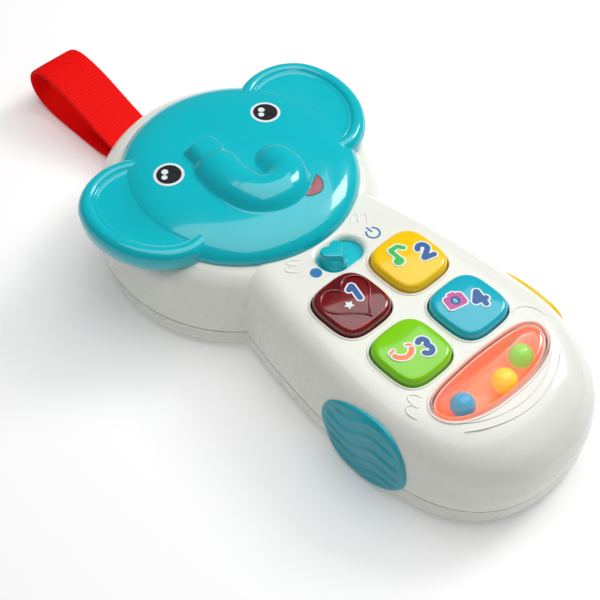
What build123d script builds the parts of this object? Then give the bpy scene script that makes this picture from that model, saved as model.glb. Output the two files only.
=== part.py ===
"""Toy cell phone with an elephant face, lying on its flat back.

Millimetres. The origin is the centre of the round head on the flat back: +Z points out of the
front, +Y towards the carrying strap, +X to the right of someone who looks at the face.
"""
from build123d import *
from math import cos, pi, radians, sin, tan
import os

os.makedirs("parts", exist_ok=True)

# Casing: a round head and a long body, split into a front and a rear shell
HEAD_RADIUS = 43.0
CASING_HEIGHT = 31.0
WALL = 2.2
TOP_ROUND = WALL + 6.8
BOTTOM_ROUND = WALL + 2.8
PARTING_Z = 8.0
NECK_HALF = 25.0
NECK_Y = -22.0
WAIST_HALF = 30.9
WAIST_Y = -52.0
HIP_HALF = 34.0
HIP_Y = -88.0
END_LENGTH = 40.5
END_POWER = 2.45
END_POINTS = 8

# Elephant face plate
FACE_RADIUS = 36.2
FACE_Y = -0.8
FACE_RISE = 6.5
FACE_RIM = 4.5
FACE_WALL = 2.2
EAR_OUTLINE = [(22.0, 21.0), (30.5, 24.0), (40.0, 21.0), (46.6, 13.5), (48.0, 4.0),
               (44.8, -6.5), (38.5, -14.0), (31.8, -17.2), (27.5, -14.5)]
EAR_ROOT = [(22.0, -6.0), (18.0, 8.0)]
EAR_CENTRE = (33.0, 4.0)
EAR_RISE = 5.0
EAR_DROP = 1.5
EAR_ROUND = 1.8
EAR_RIM = 4.2
EAR_DISH = 1.2
TRUNK_RADIUS = 7.3
TRUNK_LIFT = 3.7
TRUNK_TOP = (-2.6, 11.5)
TRUNK_BEND = (-6.0, 2.5)
TRUNK_TURN = (-8.0, -8.0)
TRUNK_TIP = (8.5, -9.0)
FACE_SCREWS = [(0.0, 23.0), (-22.0, -14.0), (22.0, -14.0)]
FACE_BOSS_RADIUS = 3.2

# Buttons and the switch mat under them
BUTTON_RIB_X = 3.7
BUTTON_RIB_Y = 3.3
BUTTON_CENTRE_Y = -71.0
BUTTON_HALF = 9.75
BUTTON_BULGE = 0.7
BUTTON_CORNER = 4.4
BUTTON_RISE = 3.0
BUTTON_ROUND = 1.4
BUTTON_FLANGE = 0.7
FLANGE_THICKNESS = 1.4
BUTTON_WALL = 1.6
BUTTON_GAP = 0.25
BUTTON_TRAVEL = 1.6
PLUNGER_RADIUS = 3.2
PLUNGER_DROP = 3.2
MAT_THICKNESS = 1.2
MAT_EDGE = 21.0
DOME_RADIUS = 5.0

# Circuit board
BOARD_LIFT = 3.4
BOARD_THICKNESS = 1.6
BOARD_GAP = 1.0
BOARD_TOP_Y = -38.0
BOARD_END_Y = -91.4
BOARD_POSTS = [(-20.0, -42.5), (20.0, -42.5), (-25.0, -84.0), (25.0, -84.0)]
POST_RADIUS = 2.2
LIGHT_RADIUS = 1.5
LIGHT_HEIGHT = 4.0

# Slide switch
SLOT_Y = -43.5
SLOT_LENGTH = 15.0
SLOT_WIDTH = 9.4
SLIDE_TRAVEL = 5.0
SLIDE_COVER = 0.5
SLIDE_PLATE = 1.6
SLIDE_GAP = 0.1
KNOB_HALF = 3.4
KNOB_RISE = 2.6
LEVER_SIZE = 1.8
SWITCH_LENGTH = 12.0
SWITCH_WIDTH = 5.0
SWITCH_HEIGHT = 3.6

# Rattle window, tray and beads
WINDOW_TOP_Y = -94.0
WINDOW_TOP_HALF = 16.5
WINDOW_HALF = 21.5
WINDOW_SIDE_Y = -99.5
WINDOW_BOTTOM_Y = -110.2
WINDOW_ROUND = 2.2
WINDOW_WALL = 1.5
WINDOW_RISE = 2.8
WINDOW_FLANGE = 0.8
WINDOW_GAP = 0.1
TRAY_FLOOR_Z = 20.0
TRAY_WALL = 0.8
TRAY_FLOOR = 1.4
BEAD_RADIUS = 3.7
BEAD_GAP = 0.1
BEADS = {"blue_bead": (-9.7, -100.6), "yellow_bead": (4.7, -103.0), "green_bead": (14.4, -100.6)}
TRAY_POSTS = [(-12.0, -104.6), (12.0, -104.6)]

# Side grips
GRIP_Y = -87.0
GRIP_Z = 14.0
GRIP_HALF_LENGTH = 15.6
GRIP_HALF_HEIGHT = 12.4
GRIP_LEAN = -14.0
GRIP_POWER = 2.4
GRIP_POINTS = 24
GRIP_PROUD = 0.9
GRIP_SUNK = 0.9
GRIP_GAP = 0.08

# Speaker in the head
SPEAKER_Y = 5.0
SPEAKER_RADIUS = 15.0
SPEAKER_Z = 3.4
SPEAKER_RIM = 1.6
SPEAKER_CONE = 3.5
MAGNET_RADIUS = 8.0
MAGNET_HEIGHT = 4.5
SPEAKER_RING = 1.4
SPEAKER_RING_Z = 7.0
GRILLE_HOLE = 1.0
GRILLE_PITCH = 4.2
GRILLE_RINGS = 2

# Strap
STRAP_WIDTH = 16.5
STRAP_THICKNESS = 1.6
STRAP_Z = 6.6
STRAP_GAP = 0.4
STRAP_OUT = 2.4
STRAP_SPACE = 0.3
PIN_IN = 8.5
PIN_RADIUS = 1.5
PIN_LENGTH = 25.0
PIN_POST = 3.0
STRAP_TOP_RUN = [(19.0, 11.6), (33.0, 16.4), (44.0, 18.2), (51.5, 16.0)]
STRAP_END = [(54.6, 9.6), (51.5, 2.8)]
STRAP_LOWER_RUN = [(42.0, 0.4), (14.0, 0.4)]

# Batteries and their door
CELL_RADIUS = 5.25
CELL_LENGTH = 44.5
CELL_NUB_RADIUS = 1.9
CELL_NUB = 1.0
CELL_SPACE = 0.95
CELL_GAP = 0.4
BAY_CENTRE_Y = -69.5
BAY_LENGTH = 50.0
BAY_WALL = 1.5
CONTACT_THICKNESS = 0.4
CONTACT_WIDTH = 8.4
SPRING_BASE = 3.4
SPRING_TIP = 2.2
DOOR_SINK = 0.2
DOOR_THICKNESS = 1.6
DOOR_LIP = 2.1
DOOR_GAP = 0.15
DOOR_SCREW_OFFSET = 4.8
DOOR_PAD = 2.0
DOOR_END = 3.4

# Screws
CASE_SCREWS = [(-28.0, 14.0), (28.0, 14.0), (-25.6, -71.0), (25.6, -71.0), (-17.0, -116.5), (17.0, -116.5)]
CASE_BOSS_RADIUS = 3.5
CASE_SEAT_Z = 4.4
CASE_SCREW_LENGTH = 13.0
CASE_SHANK = 1.3
CASE_HEAD = 2.5
CASE_HEAD_HEIGHT = 1.9
SMALL_SHANK = 1.0
SMALL_HEAD = 2.0
SMALL_HEAD_HEIGHT = 1.4
SMALL_SCREW_LENGTH = 7.0
DOOR_HEAD_HEIGHT = 1.0
THREAD_FIT = 0.04
HEAD_FIT = 0.25
CROSS_WIDTH = 0.7
CROSS_DEPTH = 0.8

# Heights and sizes that follow from the values above
BUTTON_PITCH_X = 2 * BUTTON_HALF + BUTTON_RIB_X
BUTTON_PITCH_Y = 2 * BUTTON_HALF + BUTTON_RIB_Y
ROOF_Z = CASING_HEIGHT - WALL
FLANGE_Z = ROOF_Z - FLANGE_THICKNESS
PLUNGER_Z = FLANGE_Z - PLUNGER_DROP
PLATE_Z = ROOF_Z - SLIDE_GAP - SLIDE_PLATE
KNOB_X = -SLIDE_TRAVEL / 2
WINDOW_FLANGE_Z = ROOF_Z - FLANGE_THICKNESS
DOOR_TOP = DOOR_SINK + DOOR_THICKNESS
STRAP_HINGE_Y = HEAD_RADIUS + STRAP_OUT
PIN_Y = HEAD_RADIUS - PIN_IN
CELL_X = CELL_RADIUS + CELL_SPACE
CELL_Z = DOOR_TOP + CELL_GAP + CELL_RADIUS
BAY_HALF = CELL_X + CELL_RADIUS + CELL_GAP
BAY_ROOF = CELL_Z + CELL_RADIUS + CELL_GAP
BOARD_Z = BAY_ROOF + BAY_WALL + BOARD_LIFT
BOARD_TOP = BOARD_Z + BOARD_THICKNESS
BAY_TOP_Y = BAY_CENTRE_Y + BAY_LENGTH / 2
BAY_END_Y = BAY_CENTRE_Y - BAY_LENGTH / 2
DOOR_HALF = BAY_HALF + DOOR_LIP
DOOR_HALF_LENGTH = BAY_LENGTH / 2 + DOOR_SCREW_OFFSET + DOOR_END
DOOR_SCREWS = [(0.0, BAY_TOP_Y + DOOR_SCREW_OFFSET), (0.0, BAY_END_Y - DOOR_SCREW_OFFSET)]
BUTTONS = {
    "red_button": (-BUTTON_PITCH_X / 2, BUTTON_CENTRE_Y + BUTTON_PITCH_Y / 2),
    "yellow_button": (BUTTON_PITCH_X / 2, BUTTON_CENTRE_Y + BUTTON_PITCH_Y / 2),
    "green_button": (-BUTTON_PITCH_X / 2, BUTTON_CENTRE_Y - BUTTON_PITCH_Y / 2),
    "blue_button": (BUTTON_PITCH_X / 2, BUTTON_CENTRE_Y - BUTTON_PITCH_Y / 2),
}
ON_BASE = (Align.CENTER, Align.CENTER, Align.MIN)
FAR = 300.0


def rod(x, y, low, high, radius):
    """Upright cylinder between two heights."""
    return Pos(x, y, low) * Cylinder(radius, high - low, align=ON_BASE)


def block(x_range, y_range, z_range):
    """Box from its lowest to its highest corner."""
    size = [high - low for low, high in (x_range, y_range, z_range)]
    corner = Pos(x_range[0], y_range[0], z_range[0])
    return corner * Box(*size, align=(Align.MIN, Align.MIN, Align.MIN))


def prism(face, low, high):
    """Flat face drawn at height 0, raised between two heights."""
    return Pos(0, 0, low) * extrude(face, high - low)


def rounded(solid, low_radius, high_radius):
    """Upright solid with its lowest and highest edges rounded."""
    levels = solid.edges().group_by(Axis.Z)
    solid = fillet(levels[-1], high_radius)
    return fillet(solid.edges().group_by(Axis.Z)[0], low_radius) if low_radius else solid


def join(*solids):
    """One clean solid from overlapping pieces."""
    total = solids[0]
    for piece in solids[1:]:
        total = total + piece
    return total


# ---- casing ----

def body_face(inset):
    """Plan of the body: slightly bowed sides and a superellipse for the far end."""
    half = HIP_HALF - inset
    reach = END_LENGTH - inset
    steps = [pi / 2 * i / END_POINTS for i in range(END_POINTS + 1)]
    right = [(half * cos(t) ** (2 / END_POWER), HIP_Y - reach * sin(t) ** (2 / END_POWER)) for t in steps[:-1]]
    end = right + [(0.0, HIP_Y - reach)] + [(-x, y) for x, y in reversed(right)]
    far_end = Spline(*end, tangents=[(0, -1), (0, 1)])
    side = ThreePointArc((NECK_HALF - inset, NECK_Y), (WAIST_HALF - inset, WAIST_Y), (half, HIP_Y))
    mirrored = ThreePointArc((-half, HIP_Y), (-WAIST_HALF + inset, WAIST_Y), (-NECK_HALF + inset, NECK_Y))
    neck = Line((-NECK_HALF + inset, NECK_Y), (NECK_HALF - inset, NECK_Y))
    return make_face(Curve() + [side, far_end, mirrored, neck])


def envelope(inset):
    """Outer form of the whole casing, drawn in by a distance on every side."""
    low, high = inset, CASING_HEIGHT - inset
    head = rounded(rod(0, 0, low, high, HEAD_RADIUS - inset), BOTTOM_ROUND - inset, TOP_ROUND - inset)
    body = rounded(prism(body_face(inset), low, high), BOTTOM_ROUND - inset, TOP_ROUND - inset)
    return head + body


def half_space(low, high):
    """Wide slab that keeps what lies between two heights."""
    return block((-FAR, FAR), (-FAR, FAR), (low, high))


def button_face(grow):
    """Square with bowed sides and round corners."""
    corner = BUTTON_HALF - BUTTON_BULGE + grow
    bow = BUTTON_HALF + grow
    sides = [
        ThreePointArc((corner, -corner), (bow, 0), (corner, corner)),
        ThreePointArc((corner, corner), (0, bow), (-corner, corner)),
        ThreePointArc((-corner, corner), (-bow, 0), (-corner, -corner)),
        ThreePointArc((-corner, -corner), (0, -bow), (corner, -corner)),
    ]
    face = make_face(Curve() + sides)
    return fillet(face.vertices(), BUTTON_CORNER + grow)


def slot_face(grow):
    """Long hole of the power slide."""
    return Pos(0, SLOT_Y) * SlotOverall(SLOT_LENGTH + 2 * grow, SLOT_WIDTH + 2 * grow)


def window_face(grow):
    """Plan of the rattle window: straight top, round lower edge."""
    top, side, low = WINDOW_TOP_Y + grow, WINDOW_HALF + grow, WINDOW_BOTTOM_Y - grow
    shoulder = WINDOW_TOP_HALF + grow / 2
    edges = [
        Line((-shoulder, top), (shoulder, top)),
        Line((shoulder, top), (side, WINDOW_SIDE_Y)),
        ThreePointArc((side, WINDOW_SIDE_Y), (0, low), (-side, WINDOW_SIDE_Y)),
        Line((-side, WINDOW_SIDE_Y), (-shoulder, top)),
    ]
    return fillet(make_face(Curve() + edges).vertices(), WINDOW_ROUND)


def grip_prism(grow):
    """Leaning superellipse of a side grip, as a bar through the whole body along X."""
    points = []
    for i in range(GRIP_POINTS):
        t = 2 * pi * i / GRIP_POINTS
        along = abs(cos(t)) ** (2 / GRIP_POWER) * (1 if cos(t) > 0 else -1) * (GRIP_HALF_LENGTH + grow)
        up = abs(sin(t)) ** (2 / GRIP_POWER) * (1 if sin(t) > 0 else -1) * (GRIP_HALF_HEIGHT + grow)
        lean = radians(GRIP_LEAN)
        points.append((GRIP_Y + along * cos(lean) - up * sin(lean), GRIP_Z + along * sin(lean) + up * cos(lean)))
    outline = Plane.YZ * make_face(Spline(*points, periodic=True))
    return extrude(outline, FAR / 2, both=True)


def grip_pockets():
    """What is cut from the sides of the casing to seat both grips."""
    return grip_prism(GRIP_GAP) - envelope(GRIP_SUNK + GRIP_GAP)


def strap_slot():
    """Flat slot through the top of the head for both layers of the strap."""
    half, layers = STRAP_WIDTH / 2 + STRAP_GAP, STRAP_THICKNESS + STRAP_GAP
    return block((-half, half), (PIN_Y, HEAD_RADIUS + WALL), (STRAP_Z - layers, STRAP_Z + layers))


def front_casing(shell, pockets, slot):
    """Upper shell with its openings, screw bosses and board posts."""
    part = shell & half_space(PARTING_Z, FAR)
    inside = envelope(WALL / 2)
    bosses = [rod(x, y, PARTING_Z, CASING_HEIGHT, CASE_BOSS_RADIUS) for x, y in CASE_SCREWS]
    posts = [rod(x, y, BOARD_TOP, CASING_HEIGHT, POST_RADIUS) for x, y in BOARD_POSTS]
    part = join(part, *[piece & inside for piece in bosses + posts])
    for x, y in BUTTONS.values():
        part -= Pos(x, y) * prism(button_face(BUTTON_GAP), FLANGE_Z, FAR)
    part -= prism(slot_face(0), PLATE_Z, FAR)
    part -= prism(window_face(0), WINDOW_FLANGE_Z, FAR)
    for x, y in CASE_SCREWS:
        part -= rod(x, y, 0, CASE_SEAT_Z + CASE_SCREW_LENGTH, CASE_SHANK + THREAD_FIT)
    for x, y in BOARD_POSTS:
        part -= rod(x, y, BOARD_Z, BOARD_Z + SMALL_SCREW_LENGTH, SMALL_SHANK + THREAD_FIT)
    for x, y in FACE_SCREWS:
        part -= rod(x, y, ROOF_Z - WALL, CASING_HEIGHT + WALL, SMALL_SHANK + THREAD_FIT)
    return part - pockets - slot


def door_recess(grow, low, high):
    """Rectangle of the battery door."""
    return block((-DOOR_HALF - grow, DOOR_HALF + grow),
                 (BAY_CENTRE_Y - DOOR_HALF_LENGTH - grow, BAY_CENTRE_Y + DOOR_HALF_LENGTH + grow), (low, high))


def grille_holes():
    """Rings of round sound holes under the speaker."""
    holes = [rod(0, SPEAKER_Y, -WALL, SPEAKER_Z, GRILLE_HOLE)]
    for ring in range(1, GRILLE_RINGS + 1):
        for i in range(6 * ring):
            t = 2 * pi * i / (6 * ring)
            reach = ring * GRILLE_PITCH
            holes.append(rod(reach * cos(t), SPEAKER_Y + reach * sin(t), -WALL, SPEAKER_Z, GRILLE_HOLE))
    return holes


def rear_casing(shell, pockets, slot):
    """Lower shell with the battery bay, speaker ring, strap posts, tray posts and screw wells."""
    part = shell & half_space(-WALL, PARTING_Z)
    inside = envelope(WALL / 2)
    adds = [rod(x, y, 0, PARTING_Z, CASE_BOSS_RADIUS + WALL / 2) & inside for x, y in CASE_SCREWS]
    adds.append(door_recess(DOOR_PAD, 0, DOOR_TOP + DOOR_PAD) & inside)
    adds.append(block((-BAY_HALF - BAY_WALL, BAY_HALF + BAY_WALL), (BAY_END_Y - BAY_WALL, BAY_TOP_Y + BAY_WALL),
                      (DOOR_TOP, BAY_ROOF + BAY_WALL)))
    adds += [rod(x, y, DOOR_TOP, DOOR_TOP + SMALL_SCREW_LENGTH, POST_RADIUS) for x, y in DOOR_SCREWS]
    adds.append(rod(0, SPEAKER_Y, WALL / 2, SPEAKER_RING_Z, SPEAKER_RADIUS + THREAD_FIT + SPEAKER_RING))
    adds += [rod(x, y, WALL / 2, TRAY_FLOOR_Z - TRAY_FLOOR, POST_RADIUS) for x, y in TRAY_POSTS]
    seat = PIN_LENGTH / 2
    for low, high in ((-seat, PIN_POST - seat), (seat - PIN_POST, seat)):
        adds.append(block((low, high), (PIN_Y - PIN_POST, PIN_Y + PIN_POST), (WALL / 2, PARTING_Z)) & inside)
    part = join(part, *adds)
    part -= rod(0, SPEAKER_Y, WALL, FAR, SPEAKER_RADIUS + THREAD_FIT)
    for hole in grille_holes():
        part -= hole
    part -= door_recess(DOOR_GAP, -WALL, DOOR_TOP)
    part -= block((-BAY_HALF, BAY_HALF), (BAY_END_Y, BAY_TOP_Y), (0, BAY_ROOF))
    for x, y in CASE_SCREWS:
        part -= rod(x, y, -WALL, CASE_SEAT_Z, CASE_HEAD + HEAD_FIT)
        part -= rod(x, y, 0, FAR, CASE_SHANK + THREAD_FIT)
    for x, y in DOOR_SCREWS:
        part -= rod(x, y, 0, DOOR_TOP + SMALL_SCREW_LENGTH - WALL / 2, SMALL_SHANK + THREAD_FIT)
    pin_slot = rod(0, 0, -PIN_LENGTH / 2, PIN_LENGTH / 2, PIN_RADIUS + THREAD_FIT)
    part -= Pos(0, PIN_Y, STRAP_Z) * Rot(0, 90, 0) * pin_slot
    width = PIN_RADIUS + THREAD_FIT
    part -= block((-PIN_LENGTH / 2, PIN_LENGTH / 2), (PIN_Y - width, PIN_Y + width), (STRAP_Z, PARTING_Z))
    return part - pockets - slot


# ---- elephant face ----

def ear_face(side, inset):
    """Plan of one ear, closed by a root inside the face disc; side is 1 or -1, inset draws its rim in."""
    centre = Vector(*EAR_CENTRE)
    rim = [Vector(*point) for point in EAR_OUTLINE]
    rim = [point + (centre - point).normalized() * inset for point in rim]
    rim = [(side * point.X, point.Y) for point in rim]
    root = [(side * x, y) for x, y in EAR_ROOT]
    return make_face(Curve() + [Spline(*rim), Polyline(rim[-1], *root, rim[0])])


def ear(side):
    """One ear: a thick lobe with a rounded edge and a dished middle."""
    low, high = CASING_HEIGHT - EAR_DROP, CASING_HEIGHT + EAR_RISE
    lobe = prism(ear_face(side, 0), low, high)
    lobe = fillet(lobe.edges().group_by(Axis.Z)[-1], EAR_ROUND)
    return lobe - prism(ear_face(side, EAR_RIM), high - EAR_DISH, FAR)


def face_disc():
    """Shallow drum with a rounded rim, hollow below, as a turned profile."""
    outer = rod(0, FACE_Y, CASING_HEIGHT, CASING_HEIGHT + FACE_RISE, FACE_RADIUS)
    outer = fillet(outer.edges().group_by(Axis.Z)[-1], FACE_RIM)
    inner = rod(0, FACE_Y, CASING_HEIGHT - 1, CASING_HEIGHT + FACE_RISE - FACE_WALL, FACE_RADIUS - FACE_WALL)
    return outer, inner


def trunk():
    """Curled trunk: one round section along two tangent arcs, blunt at the brow, with a ball at its tip."""
    level = CASING_HEIGHT + TRUNK_LIFT
    lift = [Vector(x, y, level) for x, y in (TRUNK_TOP, TRUNK_BEND, TRUNK_TURN, TRUNK_TIP)]
    upper = ThreePointArc(*lift[:3])
    curl = TangentArc(lift[2], lift[3], tangent=upper % 1)
    section = Plane(lift[0], z_dir=upper % 0) * Circle(TRUNK_RADIUS)
    body = sweep(section, path=Curve() + [upper, curl])
    return join(body, Pos(*lift[3]) * Sphere(TRUNK_RADIUS))


def face_plate(casing):
    """Face disc, both ears and the trunk in one moulding, with bosses for its screws."""
    outer, inner = face_disc()
    core = rod(0, FACE_Y, 0, FAR, FACE_RADIUS - FACE_WALL)
    bosses = [rod(x, y, CASING_HEIGHT, CASING_HEIGHT + FACE_RISE - FACE_WALL, FACE_BOSS_RADIUS) for x, y in FACE_SCREWS]
    part = join(outer - inner, ear(1) - core, ear(-1) - core, trunk() & half_space(CASING_HEIGHT, FAR), *bosses)
    for x, y in FACE_SCREWS:
        part -= rod(x, y, ROOF_Z, ROOF_Z + SMALL_SCREW_LENGTH, SMALL_SHANK + THREAD_FIT)
    return part - casing


# ---- keys, board and slide ----

def button(x, y):
    """Hollow key with a flange that stops it under the casing and a plunger on the mat."""
    cap = rounded(prism(button_face(0), ROOF_Z - WALL / 4, CASING_HEIGHT + BUTTON_RISE), 0, BUTTON_ROUND)
    flange = prism(button_face(BUTTON_FLANGE), FLANGE_Z, ROOF_Z)
    hollow = prism(button_face(-BUTTON_WALL), FLANGE_Z, CASING_HEIGHT + BUTTON_RISE - BUTTON_WALL)
    plunger = rod(0, 0, PLUNGER_Z, CASING_HEIGHT + BUTTON_RISE - BUTTON_WALL, PLUNGER_RADIUS)
    return Pos(x, y) * (cap + flange - hollow + plunger)


def keypad_mat():
    """Soft sheet on the board with one hollow-topped dome under each key."""
    part = block((-MAT_EDGE, MAT_EDGE), (BOARD_END_Y, BUTTON_CENTRE_Y + BUTTON_PITCH_Y / 2 + BUTTON_HALF),
                 (BOARD_TOP, BOARD_TOP + MAT_THICKNESS))
    for x, y in BUTTONS.values():
        dome = Cone(DOME_RADIUS, PLUNGER_RADIUS, PLUNGER_Z - BOARD_TOP, align=ON_BASE)
        part += Pos(x, y, BOARD_TOP) * dome
    return part - rod(0, BUTTON_CENTRE_Y, BOARD_TOP, FAR, LIGHT_RADIUS + HEAD_FIT)


def circuit_board():
    """Board that follows the inside of the casing, notched round the side bosses."""
    plan = envelope(WALL + BOARD_GAP) & block((-FAR, FAR), (BOARD_END_Y, BOARD_TOP_Y), (BOARD_Z, BOARD_TOP))
    for x, y in CASE_SCREWS:
        plan -= rod(x, y, 0, FAR, CASE_BOSS_RADIUS + BOARD_GAP / 2)
    for x, y in BOARD_POSTS:
        plan -= rod(x, y, 0, FAR, SMALL_SHANK + THREAD_FIT)
    chip = rod(0, SLOT_Y - SWITCH_WIDTH, BOARD_Z - BOARD_THICKNESS, BOARD_Z, SWITCH_WIDTH)
    return plan + chip


def button_light():
    """Small lamp between the four keys."""
    top = BOARD_TOP + LIGHT_HEIGHT - LIGHT_RADIUS
    base = rod(0, BUTTON_CENTRE_Y, BOARD_TOP, top, LIGHT_RADIUS)
    return base + Pos(0, BUTTON_CENTRE_Y, top) * Sphere(LIGHT_RADIUS)


def lever_range(grow):
    """Space of the switch lever along X."""
    half = LEVER_SIZE / 2 + grow
    return (-half + KNOB_X, half + KNOB_X + (SLIDE_TRAVEL if grow else 0))


def slide_switch():
    """Switch housing on the board with a long groove for its lever."""
    half_length, half_width = SWITCH_LENGTH / 2, SWITCH_WIDTH / 2
    body = block((-half_length, half_length), (SLOT_Y - half_width, SLOT_Y + half_width),
                 (BOARD_TOP, BOARD_TOP + SWITCH_HEIGHT))
    half = LEVER_SIZE / 2 + THREAD_FIT
    groove = block(lever_range(HEAD_FIT), (SLOT_Y - half, SLOT_Y + half),
                   (BOARD_TOP + SWITCH_HEIGHT / 2, FAR))
    return body - groove


def switch_lever():
    """Lever of the switch, which reaches up to the slide plate."""
    half = LEVER_SIZE / 2
    return block(lever_range(0), (SLOT_Y - half, SLOT_Y + half),
                 (BOARD_TOP + SWITCH_HEIGHT / 2 + SLIDE_GAP, PLATE_Z))


def heart_face():
    """Heart with two round lobes and a point towards -Y."""
    lobe = KNOB_HALF / 2 * 1.08
    lobes = [Pos(side * (KNOB_HALF - lobe), lobe / 2) * Circle(lobe) for side in (-1, 1)]
    tangent = lobe * cos(radians(45))
    out = KNOB_HALF - lobe + tangent
    point = make_face(Polyline((-out, lobe / 2 - tangent), (0, -KNOB_HALF), (out, lobe / 2 - tangent),
                               (0, lobe), (-out, lobe / 2 - tangent)))
    return lobes[0] + lobes[1] + point


def slide_knob():
    """Cover plate under the slot with the heart that a finger pushes."""
    cover = 2 * SLIDE_COVER
    plate = SlotOverall(SLOT_LENGTH + SLIDE_TRAVEL + cover, SLOT_WIDTH + cover)
    heart = prism(heart_face(), PLATE_Z + SLIDE_PLATE / 2, CASING_HEIGHT + KNOB_RISE)
    heart = fillet(heart.edges().group_by(Axis.Z)[-1], SLIDE_COVER)
    return Pos(KNOB_X, SLOT_Y) * (prism(plate, PLATE_Z, PLATE_Z + SLIDE_PLATE) + heart)


# ---- rattle ----

def rattle_window():
    """Clear lens with a rounded top and a thin flange under the casing."""
    top = CASING_HEIGHT + WINDOW_RISE
    lens = rounded(prism(window_face(-WINDOW_GAP), ROOF_Z - WALL / 4, top), 0, WINDOW_ROUND - WINDOW_GAP * 2)
    flange = prism(window_face(WINDOW_FLANGE), WINDOW_FLANGE_Z, ROOF_Z)
    inner = prism(window_face(-WINDOW_WALL), WINDOW_FLANGE_Z, top - WINDOW_WALL)
    return lens + flange - inner


def rattle_tray():
    """Open box under the window that holds the beads."""
    outer = prism(window_face(TRAY_WALL), TRAY_FLOOR_Z - TRAY_FLOOR, WINDOW_FLANGE_Z)
    return outer - prism(window_face(0), TRAY_FLOOR_Z, FAR)


def bead(x, y):
    """Loose ball on the floor of the tray."""
    return Pos(x, y, TRAY_FLOOR_Z + BEAD_GAP + BEAD_RADIUS) * Sphere(BEAD_RADIUS)


# ---- grips, speaker, strap ----

def grips():
    """Left and right panels: the sides of the casing made thicker inside the grip outline."""
    band = (grip_prism(0) & envelope(-GRIP_PROUD)) - envelope(GRIP_SUNK)
    left = band & block((-FAR, 0), (-FAR, FAR), (0, FAR))
    right = band & block((0, FAR), (-FAR, FAR), (0, FAR))
    return left, right


def speaker():
    """Rim, cone and magnet of the loudspeaker, face down over the grille."""
    rim_top = SPEAKER_Z + SPEAKER_RIM
    rim = rod(0, SPEAKER_Y, SPEAKER_Z, rim_top, SPEAKER_RADIUS)
    cone = Cone(SPEAKER_RADIUS - SPEAKER_RIM, MAGNET_RADIUS, SPEAKER_CONE, align=ON_BASE)
    magnet = rod(0, SPEAKER_Y, rim_top + SPEAKER_CONE, rim_top + SPEAKER_CONE + MAGNET_HEIGHT, MAGNET_RADIUS)
    return join(rim, Pos(0, SPEAKER_Y, rim_top) * cone, magnet)


def webbing(face):
    """Profile drawn in Y and Z, as wide as the strap."""
    return extrude(Plane.YZ * face, STRAP_WIDTH / 2, both=True)


def strap_tail():
    """Inner end of the strap: both layers, sewn round the anchor pin."""
    start, end = PIN_Y, STRAP_HINGE_Y - STRAP_THICKNESS - STRAP_SPACE
    layers = Pos((start + end) / 2, STRAP_Z) * Rectangle(end - start, 2 * STRAP_THICKNESS)
    eye = Pos(PIN_Y, STRAP_Z) * Circle(PIN_RADIUS + THREAD_FIT + STRAP_THICKNESS)
    hole = Pos(PIN_Y, STRAP_Z) * Circle(PIN_RADIUS + THREAD_FIT)
    return webbing(layers + eye - hole)


def corners(points):
    """Direction before, direction after and signed turn (left is positive) at each inner point."""
    runs = [(Vector(*b) - Vector(*a)) for a, b in zip(points, points[1:])]
    return [(a, b, radians(a.get_angle(b)) * (1 if a.cross(b).Z > 0 else -1)) for a, b in zip(runs, runs[1:])]


def run_radii(points):
    """Largest tangent arc at each corner: 0.45 of the shorter run over the tangent of half the turn."""
    return [0.45 * min(a.length, b.length) / abs(tan(turn / 2)) for a, b, turn in corners(points)]


def drawn_in(points, distance):
    """Inner points moved to where the runs cross once each is shifted to its right."""
    moved = []
    for point, (a, b, _) in zip(points[1:-1], corners(points)):
        first, second = a.normalized(), b.normalized()
        normals = Vector(first.Y, -first.X) + Vector(second.Y, -second.X)
        moved.append(Vector(*point) + normals * (distance / (1 + first.dot(second))))
    return moved


def strap_loop():
    """Free loop of webbing with a round nose at its hinge, where the two layers meet."""
    top, low = STRAP_Z + STRAP_THICKNESS, STRAP_Z - STRAP_THICKNESS
    neck_end = STRAP_HINGE_Y + 3 * STRAP_THICKNESS
    free = [(HEAD_RADIUS + y, z) for y, z in STRAP_TOP_RUN + STRAP_END + STRAP_LOWER_RUN]
    points = [(STRAP_HINGE_Y, top), (neck_end, top), *free, (neck_end, low), (STRAP_HINGE_Y, low)]
    radii = run_radii(points)
    print("strap arcs", [round(r, 1) for r in radii])
    outline = FilletPolyline(*points, radius=radii)
    outer = make_face(Curve() + [outline, Line(points[-1], points[0])])
    apex = Vector(neck_end, STRAP_Z)
    inside = drawn_in(points, STRAP_THICKNESS)[1:-1]
    inner_radii = [r + STRAP_THICKNESS * (1 if turn > 0 else -1) for r, (_, _, turn) in zip(radii, corners(points))]
    start, end = (apex + inside[0]) * 0.5, (apex + inside[-1]) * 0.5
    hollow = FilletPolyline(start, *inside, end, radius=[min(r, free) for r, free in
                                                         zip(inner_radii[1:-1], run_radii([start, *inside, end]))])
    inner = make_face(Curve() + [hollow, Line(end, apex), Line(apex, start)])
    nose = Pos(STRAP_HINGE_Y, STRAP_Z) * Circle(STRAP_THICKNESS)
    return webbing(outer + nose - inner)


def strap_pin():
    """Plain pin across the head that the strap is sewn round."""
    return Pos(0, PIN_Y, STRAP_Z) * Rot(0, 90, 0) * Cylinder(PIN_RADIUS, PIN_LENGTH)


# ---- batteries and door ----

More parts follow.
